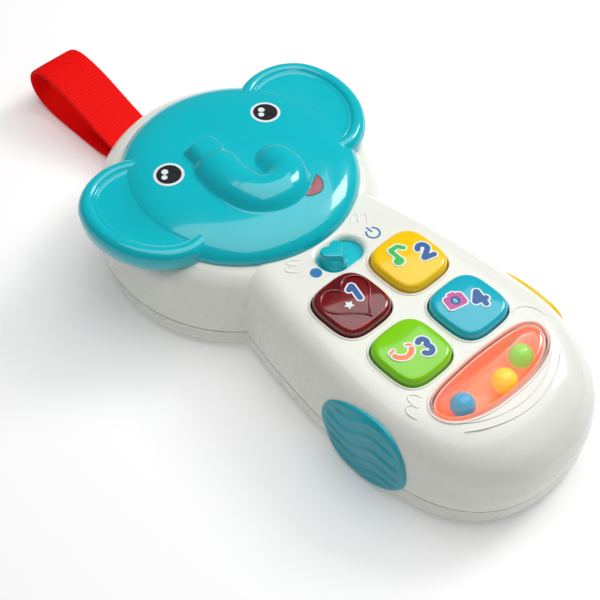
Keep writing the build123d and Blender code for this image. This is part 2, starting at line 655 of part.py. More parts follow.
def battery(x, nub_towards_strap):
    """One AAA cell lying along Y."""
    body = Cylinder(CELL_RADIUS, CELL_LENGTH - CELL_NUB, align=ON_BASE)
    nub = Pos(0, 0, CELL_LENGTH - CELL_NUB) * Cylinder(CELL_NUB_RADIUS, CELL_NUB, align=ON_BASE)
    turn = -90 if nub_towards_strap else 90
    tip_y = BAY_TOP_Y - CONTACT_THICKNESS if nub_towards_strap else BAY_END_Y + CONTACT_THICKNESS
    start_y = tip_y - CELL_LENGTH if nub_towards_strap else tip_y + CELL_LENGTH
    return Pos(x, start_y, CELL_Z) * Rot(turn, 0, 0) * (body + nub)


def contact_plate(x, y_low):
    """Flat metal contact against an end wall of the bay."""
    half = CONTACT_WIDTH / 2
    return block((x - half, x + half), (y_low, y_low + CONTACT_THICKNESS), (CELL_Z - half, CELL_Z + half))


def battery_plates():
    """Contacts at the raised ends of both cells."""
    return contact_plate(-CELL_X, BAY_TOP_Y - CONTACT_THICKNESS) + contact_plate(CELL_X, BAY_END_Y)


def battery_springs():
    """Contacts with a cone spring at the flat ends of both cells."""
    length = BAY_LENGTH - CELL_LENGTH - 2 * CONTACT_THICKNESS
    cone = Cone(SPRING_BASE, SPRING_TIP, length, align=ON_BASE)
    left = contact_plate(-CELL_X, BAY_END_Y)
    left += Pos(-CELL_X, BAY_END_Y + CONTACT_THICKNESS, CELL_Z) * Rot(-90, 0, 0) * cone
    right = contact_plate(CELL_X, BAY_TOP_Y - CONTACT_THICKNESS)
    right += Pos(CELL_X, BAY_TOP_Y - CONTACT_THICKNESS, CELL_Z) * Rot(90, 0, 0) * cone
    return left + right


def battery_door():
    """Flat cover in the back with a well for each of its two screws."""
    part = door_recess(0, DOOR_SINK, DOOR_TOP)
    for x, y in DOOR_SCREWS:
        part -= rod(x, y, 0, DOOR_SINK + DOOR_HEAD_HEIGHT, SMALL_HEAD + HEAD_FIT)
        part -= rod(x, y, 0, FAR, SMALL_SHANK + THREAD_FIT)
    return part


# ---- screws ----

def screw(x, y, seat, length, shank, head, head_height):
    """Pan head screw that points up, with a cross recess in its head."""
    body = rod(x, y, seat - head_height, seat, head) + rod(x, y, seat, seat + length, shank)
    arm = head * 0.6
    for x_half, y_half in ((arm, CROSS_WIDTH / 2), (CROSS_WIDTH / 2, arm)):
        body -= block((x - x_half, x + x_half), (y - y_half, y + y_half),
                      (seat - head_height - 1, seat - head_height + min(CROSS_DEPTH, head_height / 2)))
    return body


def screws(places, seat, length, shank, head, head_height):
    """Group of identical screws in one node."""
    return Compound([screw(x, y, seat, length, shank, head, head_height) for x, y in places])


def build():
    """All the nodes of the toy, by name."""
    shell = envelope(0) - envelope(WALL)
    pockets = grip_pockets()
    slot = strap_slot()
    small = (SMALL_SHANK, SMALL_HEAD)
    left_grip, right_grip = grips()
    parts = {
        "front_casing": front_casing(shell, pockets, slot),
        "rear_casing": rear_casing(shell, pockets, slot),
        "face_plate": face_plate(envelope(0)),
        "keypad_mat": keypad_mat(),
        "circuit_board": circuit_board(),
        "button_light": button_light(),
        "slide_switch": slide_switch(),
        "switch_lever": switch_lever(),
        "slide_knob": slide_knob(),
        "rattle_window": rattle_window(),
        "rattle_tray": rattle_tray(),
        "left_grip": left_grip,
        "right_grip": right_grip,
        "speaker": speaker(),
        "strap_tail": strap_tail(),
        "strap_loop": strap_loop(),
        "strap_pin": strap_pin(),
        "left_battery": battery(-CELL_X, True),
        "right_battery": battery(CELL_X, False),
        "battery_plates": battery_plates(),
        "battery_springs": battery_springs(),
        "battery_door": battery_door(),
        "door_screws": screws(DOOR_SCREWS, DOOR_SINK + DOOR_HEAD_HEIGHT, SMALL_SCREW_LENGTH - WALL,
                              *small, DOOR_HEAD_HEIGHT),
        "case_screws": screws(CASE_SCREWS, CASE_SEAT_Z, CASE_SCREW_LENGTH - WALL,
                              CASE_SHANK, CASE_HEAD, CASE_HEAD_HEIGHT),
        "board_screws": screws(BOARD_POSTS, BOARD_Z, SMALL_SCREW_LENGTH - WALL / 4, *small, SMALL_HEAD_HEIGHT),
        "face_screws": screws(FACE_SCREWS, ROOF_Z, SMALL_SCREW_LENGTH - WALL / 4, *small, SMALL_HEAD_HEIGHT),
    }
    for name, (x, y) in BUTTONS.items():
        parts[name] = button(x, y)
    for name, (x, y) in BEADS.items():
        parts[name] = bead(x, y)
    return parts


for name, part in build().items():
    export_step(part, f"parts/{name}.step")
    print(f"{name}: {part.volume:.0f} mm3")
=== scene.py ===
from math import cos, pi, radians, sin

import bpy
import numpy as np
from mathutils import Matrix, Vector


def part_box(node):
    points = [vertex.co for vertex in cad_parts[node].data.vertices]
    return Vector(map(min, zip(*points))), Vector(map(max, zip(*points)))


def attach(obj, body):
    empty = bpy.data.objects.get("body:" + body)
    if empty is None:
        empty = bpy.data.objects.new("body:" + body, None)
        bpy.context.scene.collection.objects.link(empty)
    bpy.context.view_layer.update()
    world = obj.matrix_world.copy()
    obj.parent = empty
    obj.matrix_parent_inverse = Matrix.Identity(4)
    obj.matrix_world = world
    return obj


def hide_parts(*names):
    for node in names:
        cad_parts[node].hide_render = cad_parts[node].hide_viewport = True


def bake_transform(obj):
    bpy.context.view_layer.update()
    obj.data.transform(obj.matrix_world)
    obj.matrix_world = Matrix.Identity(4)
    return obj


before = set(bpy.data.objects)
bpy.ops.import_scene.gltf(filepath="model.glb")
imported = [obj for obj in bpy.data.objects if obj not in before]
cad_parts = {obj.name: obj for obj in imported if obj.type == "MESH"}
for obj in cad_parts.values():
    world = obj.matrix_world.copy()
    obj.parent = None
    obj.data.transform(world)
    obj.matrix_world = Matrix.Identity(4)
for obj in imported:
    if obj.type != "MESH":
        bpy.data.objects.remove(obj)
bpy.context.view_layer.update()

# ---- Table and lamps -------------------------------------------------------
# The toy lies on a plain white table under one wide soft lamp overhead. A second square lamp
# stands to the right of it, and a dim pale room fills the shadows.
MM = 0.001


def lamp(name, place, aim, size, power):
    """Rectangular area lamp at a place, turned so that its -Z axis points at its aim."""
    data = bpy.data.lights.new(name, "AREA")
    data.shape = "RECTANGLE"
    data.size, data.size_y = size
    data.energy = power
    item = bpy.data.objects.new(name, data)
    bpy.context.scene.collection.objects.link(item)
    back = np.subtract(place, aim) / np.linalg.norm(np.subtract(place, aim))
    across = np.cross((0.0, 1.0, 0.0), back)
    across /= np.linalg.norm(across)
    turn = Matrix([list(row) for row in np.column_stack([across, np.cross(back, across), back])])
    item.matrix_world = Matrix.Translation(place) @ turn.to_4x4()
    return item


lamp("overhead_softbox", (0.135, -0.05, 0.62), (0.135, -0.05, 0.0), (0.77, 0.62), 3.4)
lamp("side_softbox", (0.74, -0.10, 0.66), (0.0, -0.04, 0.0), (0.30, 0.30), 3.4)

world = bpy.data.worlds.new("studio")
world.use_nodes = True
world.node_tree.nodes["Background"].inputs["Color"].default_value = (1.0, 1.0, 1.0, 1.0)
world.node_tree.nodes["Background"].inputs["Strength"].default_value = 0.15
bpy.context.scene.world = world
bpy.context.scene.view_settings.view_transform = "Standard"

bpy.ops.mesh.primitive_plane_add(size=6.0, location=(0.0, 0.0, -0.00005))
table = bpy.context.object
table.name = "table"
table_white = bpy.data.materials.new("table_white")
table_white.use_nodes = True
table_white.node_tree.nodes["Principled BSDF"].inputs["Base Color"].default_value = (0.9, 0.9, 0.9, 1.0)
table_white.node_tree.nodes["Principled BSDF"].inputs["Roughness"].default_value = 0.85
table_white.node_tree.nodes["Principled BSDF"].inputs["Emission Color"].default_value = (1.0, 1.0, 1.0, 1.0)
table_white.node_tree.nodes["Principled BSDF"].inputs["Emission Strength"].default_value = 0.16
table.data.materials.append(table_white)

# ---- Camera ----------------------------------------------------------------
# A long lens looks down on the toy from its lower left corner, a little rolled.
azimuth, elevation, roll = radians(-45.24), radians(50.92), radians(1.65)
target = np.array([-11.8, -39.5, 15.75]) * MM
distance = 423.9 * MM
back = np.array([sin(azimuth) * cos(elevation), -cos(azimuth) * cos(elevation), sin(elevation)])
level = np.array([cos(azimuth), sin(azimuth), 0.0])
upward = np.cross(back, level)
across = level * cos(roll) + upward * sin(roll)
above = upward * cos(roll) - level * sin(roll)
camera = bpy.data.objects.new("camera", bpy.data.cameras.new("camera"))
camera.data.lens = 86.8
camera.data.sensor_width = 36.0
camera.data.clip_start = 0.01
camera.data.clip_end = 20.0
turn = Matrix([list(row) for row in np.column_stack([across, above, back])]).to_4x4()
camera.matrix_world = Matrix.Translation(target + back * distance) @ turn
bpy.context.scene.collection.objects.link(camera)
bpy.context.scene.camera = camera


# ---- White casing ----------------------------------------------------------
# Two glossy white shells, a shallow rear tray and a deep front cover, moulded in hard plastic
# and screwed together from behind. They meet in a fine groove all round the toy.
class Wire:
    """A node's socket. The operators add the Math node that works on its value."""

    def __init__(self, paint, socket):
        self.paint, self.socket = paint, socket

    def math(self, operation, *values):
        """Math node of an operation on this value and others."""
        return self.paint.node("ShaderNodeMath", {"operation": operation}, dict(enumerate((self, *values))))

    def __add__(self, other):
        return self.math("ADD", other)

    def __sub__(self, other):
        return self.math("SUBTRACT", other)

    def __rsub__(self, other):
        return self.math("MULTIPLY", -1.0).math("ADD", other)

    def __mul__(self, other):
        return self.math("MULTIPLY", other)

    def __truediv__(self, other):
        return self.math("DIVIDE", other)

    __radd__ = __add__
    __rmul__ = __mul__

    def between(self, low, high):
        """0 below low, 1 above high, and smooth between."""
        settings = {"interpolation_type": "SMOOTHSTEP"}
        sockets = {"Value": self, "From Min": low, "From Max": high}
        return self.paint.node("ShaderNodeMapRange", settings, sockets)


class Paint:
    """A material under construction: node() adds a node of a type, with its settings and sockets."""

    def __init__(self, name):
        self.material = bpy.data.materials.new(name)
        self.material.use_nodes = True
        self.tree = self.material.node_tree
        self.tree.nodes.clear()

    def node(self, kind, settings=None, sockets=None, output=0):
        """Node of a type, settings first, then values or links in its sockets."""
        made = self.tree.nodes.new(kind)
        for key, value in (settings or {}).items():
            setattr(made, key, value)
        for key, value in (sockets or {}).items():
            if isinstance(value, Wire):
                self.tree.links.new(value.socket, made.inputs[key])
            else:
                made.inputs[key].default_value = value
        return Wire(self, made.outputs[output]) if made.outputs else made

    def place(self):
        """Object coordinates in metres."""
        return self.node("ShaderNodeTexCoord", output="Object")

    def noise(self, scale, detail=2.0, where=None):
        """Soft noise from 0 to 1, in cycles for each metre."""
        sockets = {"Vector": where or self.place(), "Scale": scale, "Detail": detail}
        return self.node("ShaderNodeTexNoise", None, sockets)

    def mix(self, factor, first, second):
        """Blend of two colours."""
        return self.node("ShaderNodeMix", {"data_type": "RGBA"}, {0: factor, 6: first, 7: second}, output=2)

    def relief(self, height, distance, strength=1.0):
        """Bump from a height of 0 to 1 over a distance in metres."""
        sockets = {"Height": height, "Distance": distance, "Strength": strength}
        return self.node("ShaderNodeBump", None, sockets)

    def finish(self, **sockets):
        """Principled surface; the sockets are named with underscores for spaces."""
        named = {key.replace("_", " "): value for key, value in sockets.items()}
        shader = self.node("ShaderNodeBsdfPrincipled", None, named)
        self.node("ShaderNodeOutputMaterial", None, {"Surface": shader})
        return self.material


def screen(red, green, blue):
    """Linear colour of a screen colour given in 0 to 255."""
    parts = np.array([red, green, blue]) / 255.0
    linear = np.where(parts <= 0.04045, parts / 12.92, ((parts + 0.055) / 1.055) ** 2.4)
    return (*linear.tolist(), 1.0)


def moulded(name, colour, roughness=0.22, coat=0.6, lit=0.0):
    """Glossy moulded plastic: faint mottling, handling haze in the gloss and a slight orange peel.

    lit adds a little emission, for pieces that the clear window leaves too dark.
    """
    paint = Paint(name)
    dark = tuple(c * 0.975 for c in colour[:3]) + (1.0,)
    mottle = paint.noise(60.0, 3.0).between(0.3, 0.7)
    haze = paint.noise(130.0, 5.0).between(0.35, 0.75)
    peel = paint.relief(paint.noise(700.0), 0.00003, 0.3)
    return paint.finish(Base_Color=paint.mix(mottle, dark, colour), Roughness=haze * 0.09 + roughness,
                        Normal=peel, Coat_Weight=coat, Coat_Roughness=0.05, Specular_IOR_Level=0.3,
                        Emission_Color=colour, Emission_Strength=lit)


def make(name, points, faces):
    """Mesh object at the origin from points in millimetres."""
    mesh = bpy.data.meshes.new(name)
    mesh.from_pydata((np.asarray(points) * MM).tolist(), [], faces)
    piece = bpy.data.objects.new(name, mesh)
    bpy.context.scene.collection.objects.link(piece)
    return piece


def skin(name, rows, first=None, last=None, around=True):
    """Mesh from rows of points, shape (rows, points, 3) in millimetres, joined row to row.

    Rows close on themselves when around is true. An end is left open, or closed by one flat
    face ("flat") or by a fan to its middle ("fan").
    """
    rows = np.asarray(rows, dtype=float)
    count, length = rows.shape[:2]
    index = np.arange(count * length).reshape(count, length)
    steps = length if around else length - 1
    here, there = index[:, :steps], np.roll(index, -1, axis=1)[:, :steps]
    points = rows.reshape(-1, 3)
    faces = np.stack([here[:-1], there[:-1], there[1:], here[1:]], axis=-1).reshape(-1, 4).tolist()
    for end, ring in ((first, index[0][::-1]), (last, index[-1])):
        if end == "flat":
            faces.append(ring.tolist())
        if end == "fan":
            faces += np.column_stack([ring, np.roll(ring, -1), np.full(length, len(points))]).tolist()
            points = np.vstack([points, points[ring].mean(axis=0)])
    return make(name, points, faces)


def smooth(piece, angle=32.0):
    """Smooth shading with creases where faces meet at more than an angle."""
    piece.data.polygons.foreach_set("use_smooth", np.ones(len(piece.data.polygons), dtype=bool))
    piece.data.set_sharp_from_angle(angle=radians(angle))
    return piece


def bake(piece):
    """Modifiers turned into mesh."""
    graph = bpy.context.evaluated_depsgraph_get()
    mesh = bpy.data.meshes.new_from_object(piece.evaluated_get(graph))
    piece.modifiers.clear()
    piece.data = mesh
    return piece


def carve(piece, tool, operation="DIFFERENCE"):
    """Boolean of a piece with a tool, which is used up."""
    cut = piece.modifiers.new("cut", "BOOLEAN")
    cut.operation, cut.object, cut.solver = operation, tool, "EXACT"
    bake(piece)
    bpy.data.objects.remove(tool)
    return piece


def dress(piece, material, body):
    """Material and body of a finished piece."""
    piece.data.materials.clear()
    piece.data.materials.append(material)
    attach(piece, body)
    return piece


def arc(start, middle, end, count):
    """Points on the circle through three points; its centre is where two bisectors cross."""
    a, b, c = (np.array(p, dtype=float) for p in (start, middle, end))
    centre = np.linalg.solve([b - a, c - b], [(b @ b - a @ a) / 2, (c @ c - b @ b) / 2])
    first, via, last = (np.arctan2(*(p - centre)[::-1]) for p in (a, b, c))
    sweep = (last - first) % (2 * pi)
    if (via - first) % (2 * pi) > sweep:
        sweep -= 2 * pi
    turn = first + sweep * np.linspace(0, 1, count)
    return centre + np.linalg.norm(a - centre) * np.column_stack([np.cos(turn), np.sin(turn)])


def spread(line, count, closed=False):
    """Points evenly spaced along a line, which is closed on itself first when asked."""
    line = np.asarray(line, dtype=float)
    if closed:
        line = np.vstack([line, line[:1]])
    gaps = np.concatenate([[0], np.cumsum(np.linalg.norm(np.diff(line, axis=0), axis=1))])
    even = np.linspace(0, gaps[-1], count, endpoint=not closed)
    return np.column_stack([np.interp(even, gaps, column) for column in line.T])


def outward(loop):
    """Outward unit normals of a closed counter-clockwise outline, from its central differences."""
    along = np.roll(loop, -1, axis=0) - np.roll(loop, 1, axis=0)
    along /= np.linalg.norm(along, axis=1)[:, None]
    return np.column_stack([along[:, 1], -along[:, 0]])


def at(loop, height):
    """Outline lifted to a height, which may vary from point to point."""
    return np.column_stack([loop, np.broadcast_to(height, len(loop))])


HEAD, TOP, PARTING, WALL = 43.0, 31.0, 8.0, 2.2
NECK, WAIST, HIP = (25.0, -22.0), (30.9, -52.0), (34.0, -88.0)
END, END_POWER = 40.5, 2.45


def body_outline():
    """Counter-clockwise plan of the body: bowed sides and a superellipse round the far end."""
    t = np.linspace(pi, 2 * pi, 721)
    power = 2 / END_POWER
    end = np.column_stack([HIP[0] * np.sign(np.cos(t)) * np.abs(np.cos(t)) ** power,
                           HIP[1] - END * np.abs(np.sin(t)) ** power])
    side = arc(HIP, WAIST, NECK, 60)
    neck = arc((23.6, -15.0), (0, 9), (-23.6, -15.0), 60)
    return np.vstack([spread(end, 150), side[1:], neck, (side * (-1, 1))[::-1][:-1]])


body = body_outline()
body_out = outward(body)


def ease(x):
    """Smooth step from 0 to 1."""
    x = np.clip(x, 0, 1)
    return x * x * (3 - 2 * x)


def edge_reach(y):
    """Width of the rounding of the body's top edge: 9.5 at the sides and 17 round the far end."""
    return 9.5 + 7.5 * ease((HIP[1] - 2 - y) / 34)


def edge_drop(y):
    """Depth of that rounding."""
    return 9.0 + 4.5 * ease((HIP[1] - 2 - y) / 34)


BULGE = 0.5
HEAD_ROUND = 9.0


def shell_rows(loop, out, reach, drop, inset, groove):
    """Rows from the parting plane up the wall and over the rounded top edge.

    The wall bulges by half a sine. The edge is a quarter of an ellipse, as deep as drop and as
    wide as reach, which may both vary round the outline.
    """
    low = PARTING if groove else PARTING - 1.0
    edge = TOP - inset - drop
    rows = [at(loop - out * 0.4, low), at(loop - out * 0.1, low + 0.3)] if groove else []
    for step in np.linspace(0.05 if groove else 0.0, 1.0, 10)[:-1]:
        rows.append(at(loop + out * (BULGE * sin(pi * step) - inset), low + (edge - low) * step))
    for turn in np.linspace(0, pi / 2, 17):
        away = reach * (1 - cos(turn)) + inset
        rows.append(at(loop - out * np.broadcast_to(away, len(loop))[:, None], edge + drop * sin(turn)))
    return rows


def casing_form(name, inset, groove):
    """Solid form of the front cover, drawn in by a distance: the head's drum joined to the body."""
    turn = np.linspace(0, 2 * pi, 240, endpoint=False)
    ring = np.column_stack([np.cos(turn), np.sin(turn)])
    rounding = HEAD_ROUND - inset
    head = skin("head", shell_rows(ring * HEAD, ring, rounding, rounding, inset, groove), "flat", "flat")
    reach, drop = edge_reach(body[:, 1]) - inset, edge_drop(body[:, 1]) - inset
    rows = shell_rows(body, body_out, reach, drop, inset, groove)
    return carve(skin(name, rows, "flat", "flat"), head, "UNION")


def squircle(half, power=3.3, count=96):
    """Closed superellipse, evenly spaced by angle, around the origin."""
    turn = np.linspace(0, 2 * pi, count, endpoint=False)
    c, s = np.cos(turn), np.sin(turn)
    reach = half / (np.abs(c) ** power + np.abs(s) ** power) ** (1 / power)
    return np.column_stack([reach * c, reach * s])


def long_hole(length, width, count=24):
    """Closed outline of a slot with round ends, along X."""
    turn = np.linspace(-pi / 2, pi / 2, count)
    cap = np.column_stack([(length - width) / 2 + width / 2 * np.cos(turn), width / 2 * np.sin(turn)])
    return np.vstack([cap, -cap])


WINDOW = [(0.0, -94.3), (8.0, -94.6), (14.6, -95.2), (19.0, -96.6), (21.5, -99.6),
          (20.7, -103.6), (17.0, -107.0), (11.0, -109.2), (4.0, -110.1)]


def catmull(p):
    """Closed Catmull-Rom spline through points, 24 steps from each to the next."""
    before, after, beyond = np.roll(p, 1, axis=0), np.roll(p, -1, axis=0), np.roll(p, -2, axis=0)
    t = np.linspace(0, 1, 24, endpoint=False)[:, None, None]
    curve = 0.5 * (2 * p + (after - before) * t + (2 * before - 5 * p + 4 * after - beyond) * t ** 2
                   + (3 * p - before - 3 * after + beyond) * t ** 3)
    return np.swapaxes(curve, 0, 1).reshape(-1, 2)


def loop_through(points, count):
    """Smooth closed outline through points, evenly spaced."""
    return spread(catmull(np.array(points, dtype=float)), count, closed=True)


def window_outline(grow):
    """Plan of the rattle window, the same on both sides of the middle."""
    half = np.array(WINDOW)
    loop = loop_through(np.vstack([half, (half * (-1, 1))[::-1][:-1]]), 240)[::-1]
    return loop + outward(loop) * grow


def prism(loop, low, high, name="tool"):
    """Upright solid on an outline."""
    return skin(name, [at(loop, low), at(loop, high)], "flat", "flat")


def middle_of(node):
    """Centre of a node's box in plan, in millimetres."""
    low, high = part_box(node)
    return (np.array(low) + np.array(high))[:2] / 2 / MM


KEYS = ("red", "yellow", "green", "blue")
key_places = {key: middle_of(key + "_button") for key in KEYS}
KEY_HALF = 9.75
SLOT_PLACE = np.array([0.0, middle_of("slide_knob")[1]])
SLOT_SIZE = (15.0, 9.4)

cover = casing_form("front_cover", 0.0, True)
carve(cover, casing_form("inner_form", WALL, False))
for place in key_places.values():
    carve(cover, prism(squircle(KEY_HALF + 0.55) + place, TOP - 6, TOP + 4))
carve(cover, prism(long_hole(SLOT_SIZE[0] + 3.4, SLOT_SIZE[1] + 3.4) + SLOT_PLACE, TOP - 6, TOP + 4))
carve(cover, prism(window_outline(0.55), TOP - 6, TOP + 4))
tail_low, tail_high = (np.array(corner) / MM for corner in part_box("strap_tail"))
mouth = np.array([[tail_low[0] - 0.4, 30.0], [tail_high[0] + 0.4, 30.0],
                  [tail_high[0] + 0.4, 50.0], [tail_low[0] - 0.4, 50.0]])
carve(cover, prism(mouth, PARTING - 2, 8.7))
smooth(cover)
white_plastic = moulded("white_plastic", screen(238, 239, 230), roughness=0.25, coat=0.4)
dress(cover, white_plastic, "casing")
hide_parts("front_casing")


def collar(name, loop, profile):
    """Closed ring along an outline; the profile is a list of distances outward and heights."""
    out = outward(loop)
    index = np.arange(len(profile) * len(loop)).reshape(len(profile), len(loop))
    points = np.vstack([at(loop + out * away, height) for away, height in profile])
    below, right_of = np.roll(index, -1, axis=0), np.roll(index, -1, axis=1)
    faces = np.stack([index, right_of, np.roll(right_of, -1, axis=0), below], axis=-1).reshape(-1, 4)
    return smooth(make(name, points, faces[:, ::-1].tolist()))


def lip(name, loop, width=0.75, rise=0.32):
    """Raised rounded lip round an opening, standing on the cover."""
    arch = [(width * (0.5 - 0.5 * cos(t)), TOP + rise * sin(t)) for t in np.linspace(0, pi, 9)]
    return collar(name, loop, [(0.0, TOP - 1.6), *arch[:-1], (width, TOP - 0.3)])


trims = [lip(f"{key}_key_lip", squircle(KEY_HALF + 0.28) + place) for key, place in key_places.items()]
trims.append(lip("window_lip", window_outline(0.25), 0.8, 0.3))
throat = [(1.75 * (1 - cos(t)), TOP + 0.03 - 1.75 * (1 - sin(t))) for t in np.linspace(0, pi / 2, 12)]
trims.append(collar("slot_edge", long_hole(*SLOT_SIZE) + SLOT_PLACE,
                    [(0.0, TOP - WALL), *throat, (1.75, TOP - WALL)]))
for trim in trims:
    dress(trim, white_plastic, "casing")
for node in ("rear_casing", "battery_door"):
    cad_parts[node].data.materials[0] = white_plastic

# ---- Elephant face ---------------------------------------------------------
# One glossy turquoise moulding: a shallow drum with a soft rim, two thick ears with a rolled
# edge one step lower, and a trunk that curls to the right. It is screwed on from inside.
FACE, FACE_Y, FACE_RISE, RIM_POWER = 36.2, -0.8, 6.5, 5.6


def face_dome(x, y):
    """Height of the plain face: a superellipse of revolution, almost flat inside its rim."""
    share = np.clip(np.hypot(x, y - FACE_Y) / FACE, 0, 1)
    return TOP + FACE_RISE * np.sqrt(1 - share ** RIM_POWER)


def swell(first, second, width):
    """The larger of two heights, with a fillet of a width where they cross."""
    near = np.clip(width - np.abs(first - second), 0, None) / width
    return np.maximum(first, second) + near ** 2 * width / 4


def trunk_height(x, y):
    """Top of the trunk: a blunt block at the brow and a row of balls along the curl."""
    down = arc((-6.6, 0.4), (-7.4, -5.0), (-6.8, -10.5), 20)
    curl = arc((-6.8, -10.5), (0.3, -17.4), (8.0, -8.6), 50)
    path = np.vstack([down, curl[1:]])
    share = np.linspace(0, 1, len(path))
    radius, centre = 8.6 - 1.5 * share ** 2, 33.4 + 0.7 * share
    away = np.hypot(x[..., None] - path[:, 0], y[..., None] - path[:, 1])
    tube = np.where(away < radius, centre + np.sqrt(np.clip(radius ** 2 - away ** 2, 0, None)),
                    centre - 6 * (away - radius)).max(axis=-1)
    along = (x + 6.2) * 0.120 + (y - 0.5) * 0.993
    aside = (x + 6.2) * 0.993 - (y - 0.5) * 0.120
    end = np.clip((along - 9.6) / 2.2, 0, 1)
    bulk = np.sqrt(np.clip(1 - np.abs(aside / 6.1) ** 3, 0, None)) * np.sqrt(1 - end ** 2)
    block = np.where((along > -8) & (bulk > 0), 35.2 + 5.7 * bulk, 30.0)
    return swell(tube, block, 0.5)


rim_start = np.arcsin(0.90 ** (RIM_POWER / 2))
rim = FACE * np.sin(np.linspace(rim_start, pi / 2, 18)) ** (2 / RIM_POWER)
reaches = np.concatenate([np.linspace(0, 0.90, 105)[1:-1] * FACE, rim])
turn = np.linspace(0, 2 * pi, 420, endpoint=False)
plan = reaches[:, None, None] * np.column_stack([np.cos(turn), np.sin(turn)]) + np.array([0, FACE_Y])
height = swell(face_dome(plan[..., 0], plan[..., 1]), trunk_height(plan[..., 0], plan[..., 1]), 1.5)
height[-1] = TOP
disc = skin("elephant_face", np.concatenate([plan, height[..., None]], axis=-1)[::-1], "flat", "fan")

EAR = [(13.0, 15.5), (22.0, 23.6), (30.5, 26.0), (39.0, 24.4), (45.4, 19.4), (48.6, 12.0), (49.1, 3.5),
       (47.0, -5.0), (42.8, -11.6), (37.6, -16.0), (31.0, -18.2), (23.0, -16.0), (15.0, -8.0), (11.0, 3.0)]


def ear(side):
    """Ear lobe: an outer roll, a fine ridge inside it and a flat dish, as rows from below."""
    loop = loop_through(EAR, 220)
    loop = loop[::-1] if side > 0 else loop * (-1, 1)
    out = outward(loop)
    profile = [(0.7, 29.6), (0.15, 30.2)]
    profile += [(2.7 * (1 - cos(t)), 32.7 + 3.3 * sin(t)) for t in np.linspace(0, pi / 2, 12)]
    profile += [(3.3, 35.97), (3.8, 35.8), (4.2, 35.5), (4.5, 35.15), (4.75, 35.0), (5.0, 35.1),
                (5.25, 35.08), (5.5, 34.9), (6.2, 34.85)]
    return skin("ear", [at(loop - out * away, up) for away, up in profile], "flat", "fan")


for side in (-1, 1):
    carve(disc, ear(side), "UNION")
smooth(disc, 40.0)
turquoise = moulded("turquoise_plastic", screen(0, 190, 204), roughness=0.15, coat=0.6)
dress(disc, turquoise, "casing")
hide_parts("face_plate")

# ---- Printed eyes and mouth ------------------------------------------------
# Pad-printed ink on the face, a grey-white ring, a black pupil and two white catchlights for
# each eye, and a mauve mouth beside the trunk's tip. A dark teal band round the mouth is painted
# shade of its recessed edge. The ink is a thin film.


def film(name, loop, low, high, surface, rings=8):
    """Thin layer that follows a surface: its outline shrinks to its middle in rings."""
    middle = loop.mean(axis=0)
    shares = np.linspace(1, 0, rings, endpoint=False)
    grown = [middle + (loop - middle) * share for share in shares]
    rows = [at(loop, surface(loop[:, 0], loop[:, 1]) + low)]
    rows += [at(ring, surface(ring[:, 0], ring[:, 1]) + high) for ring in grown]
    return smooth(skin(name, rows, None, "fan"), 40.0)


def circle(place, radius, count=72):
    """Closed outline of a circle."""
    turn = np.linspace(0, 2 * pi, count, endpoint=False)
    return np.asarray(place) + radius * np.column_stack([np.cos(turn), np.sin(turn)])


def ink(name, colour, roughness=0.32):
    """Printed ink: slightly uneven cover over a fine tooth, less glossy than the plastic."""
    paint = Paint(name)
    thin = tuple(min(1.0, c * 1.12 + 0.01) for c in colour[:3]) + (1.0,)
    cover_of_ink = paint.noise(900.0, 3.0).between(0.25, 0.75)
    return paint.finish(Base_Color=paint.mix(cover_of_ink, colour, thin),
                        Roughness=paint.noise(300.0).between(0.3, 0.7) * 0.12 + roughness,
                        Normal=paint.relief(paint.noise(2500.0), 0.00001, 0.4), Coat_Weight=0.25,
                        Coat_Roughness=0.1)


white_ink = ink("white_ink", screen(226, 232, 234))
black_ink = ink("black_ink", screen(24, 28, 32), 0.2)
mouth_ink = ink("mouth_ink", screen(164, 84, 92))
mouth_recess_shade_ink = ink("mouth_recess_shade", screen(14, 96, 112))

for side, name in ((-1, "left_eye"), (1, "right_eye")):
    eye = np.array([19.4 * side, 8.7])
    dress(film(name + "_ring", circle(eye, 4.6), -0.05, 0.05, face_dome), white_ink, "casing")
    dress(film(name + "_pupil", circle(eye, 3.75), 0.0, 0.09, face_dome), black_ink, "casing")
    for number, (move, radius) in enumerate((((-0.25, 1.55), 1.02), ((-1.75, -0.05), 0.9))):
        glint = circle(eye + move, radius, 40)
        dress(film(f"{name}_catchlight_{number}", glint, 0.05, 0.13, face_dome), white_ink, "casing")

smile = loop_through([(2.0, -20.8), (6.5, -22.8), (11.0, -21.6), (12.6, -20.6), (12.4, -23.6), (9.6, -26.4),
                      (5.6, -26.0), (3.0, -23.6)], 90)
smile = smile if np.sum(smile[:, 0] * np.roll(smile[:, 1], -1) - smile[:, 1] * np.roll(smile[:, 0], -1)) > 0 \
    else smile[::-1]
# Painted shade: the dark teal band stands for the shade in the mouth's recessed edge.
dress(film("mouth_recess_shade_ring", smile, -0.05, 0.04, face_dome), mouth_recess_shade_ink, "casing")
dress(film("mouth", smile - outward(smile) * 0.55, 0.0, 0.08, face_dome), mouth_ink, "casing")

# ---- Push buttons ----------------------------------------------------------
# Four caps of coloured plastic, the red one clear so that the lamp under it shows. Each has
# soft edges, a slightly domed top, a hidden flange and a plunger that presses the silicone mat.


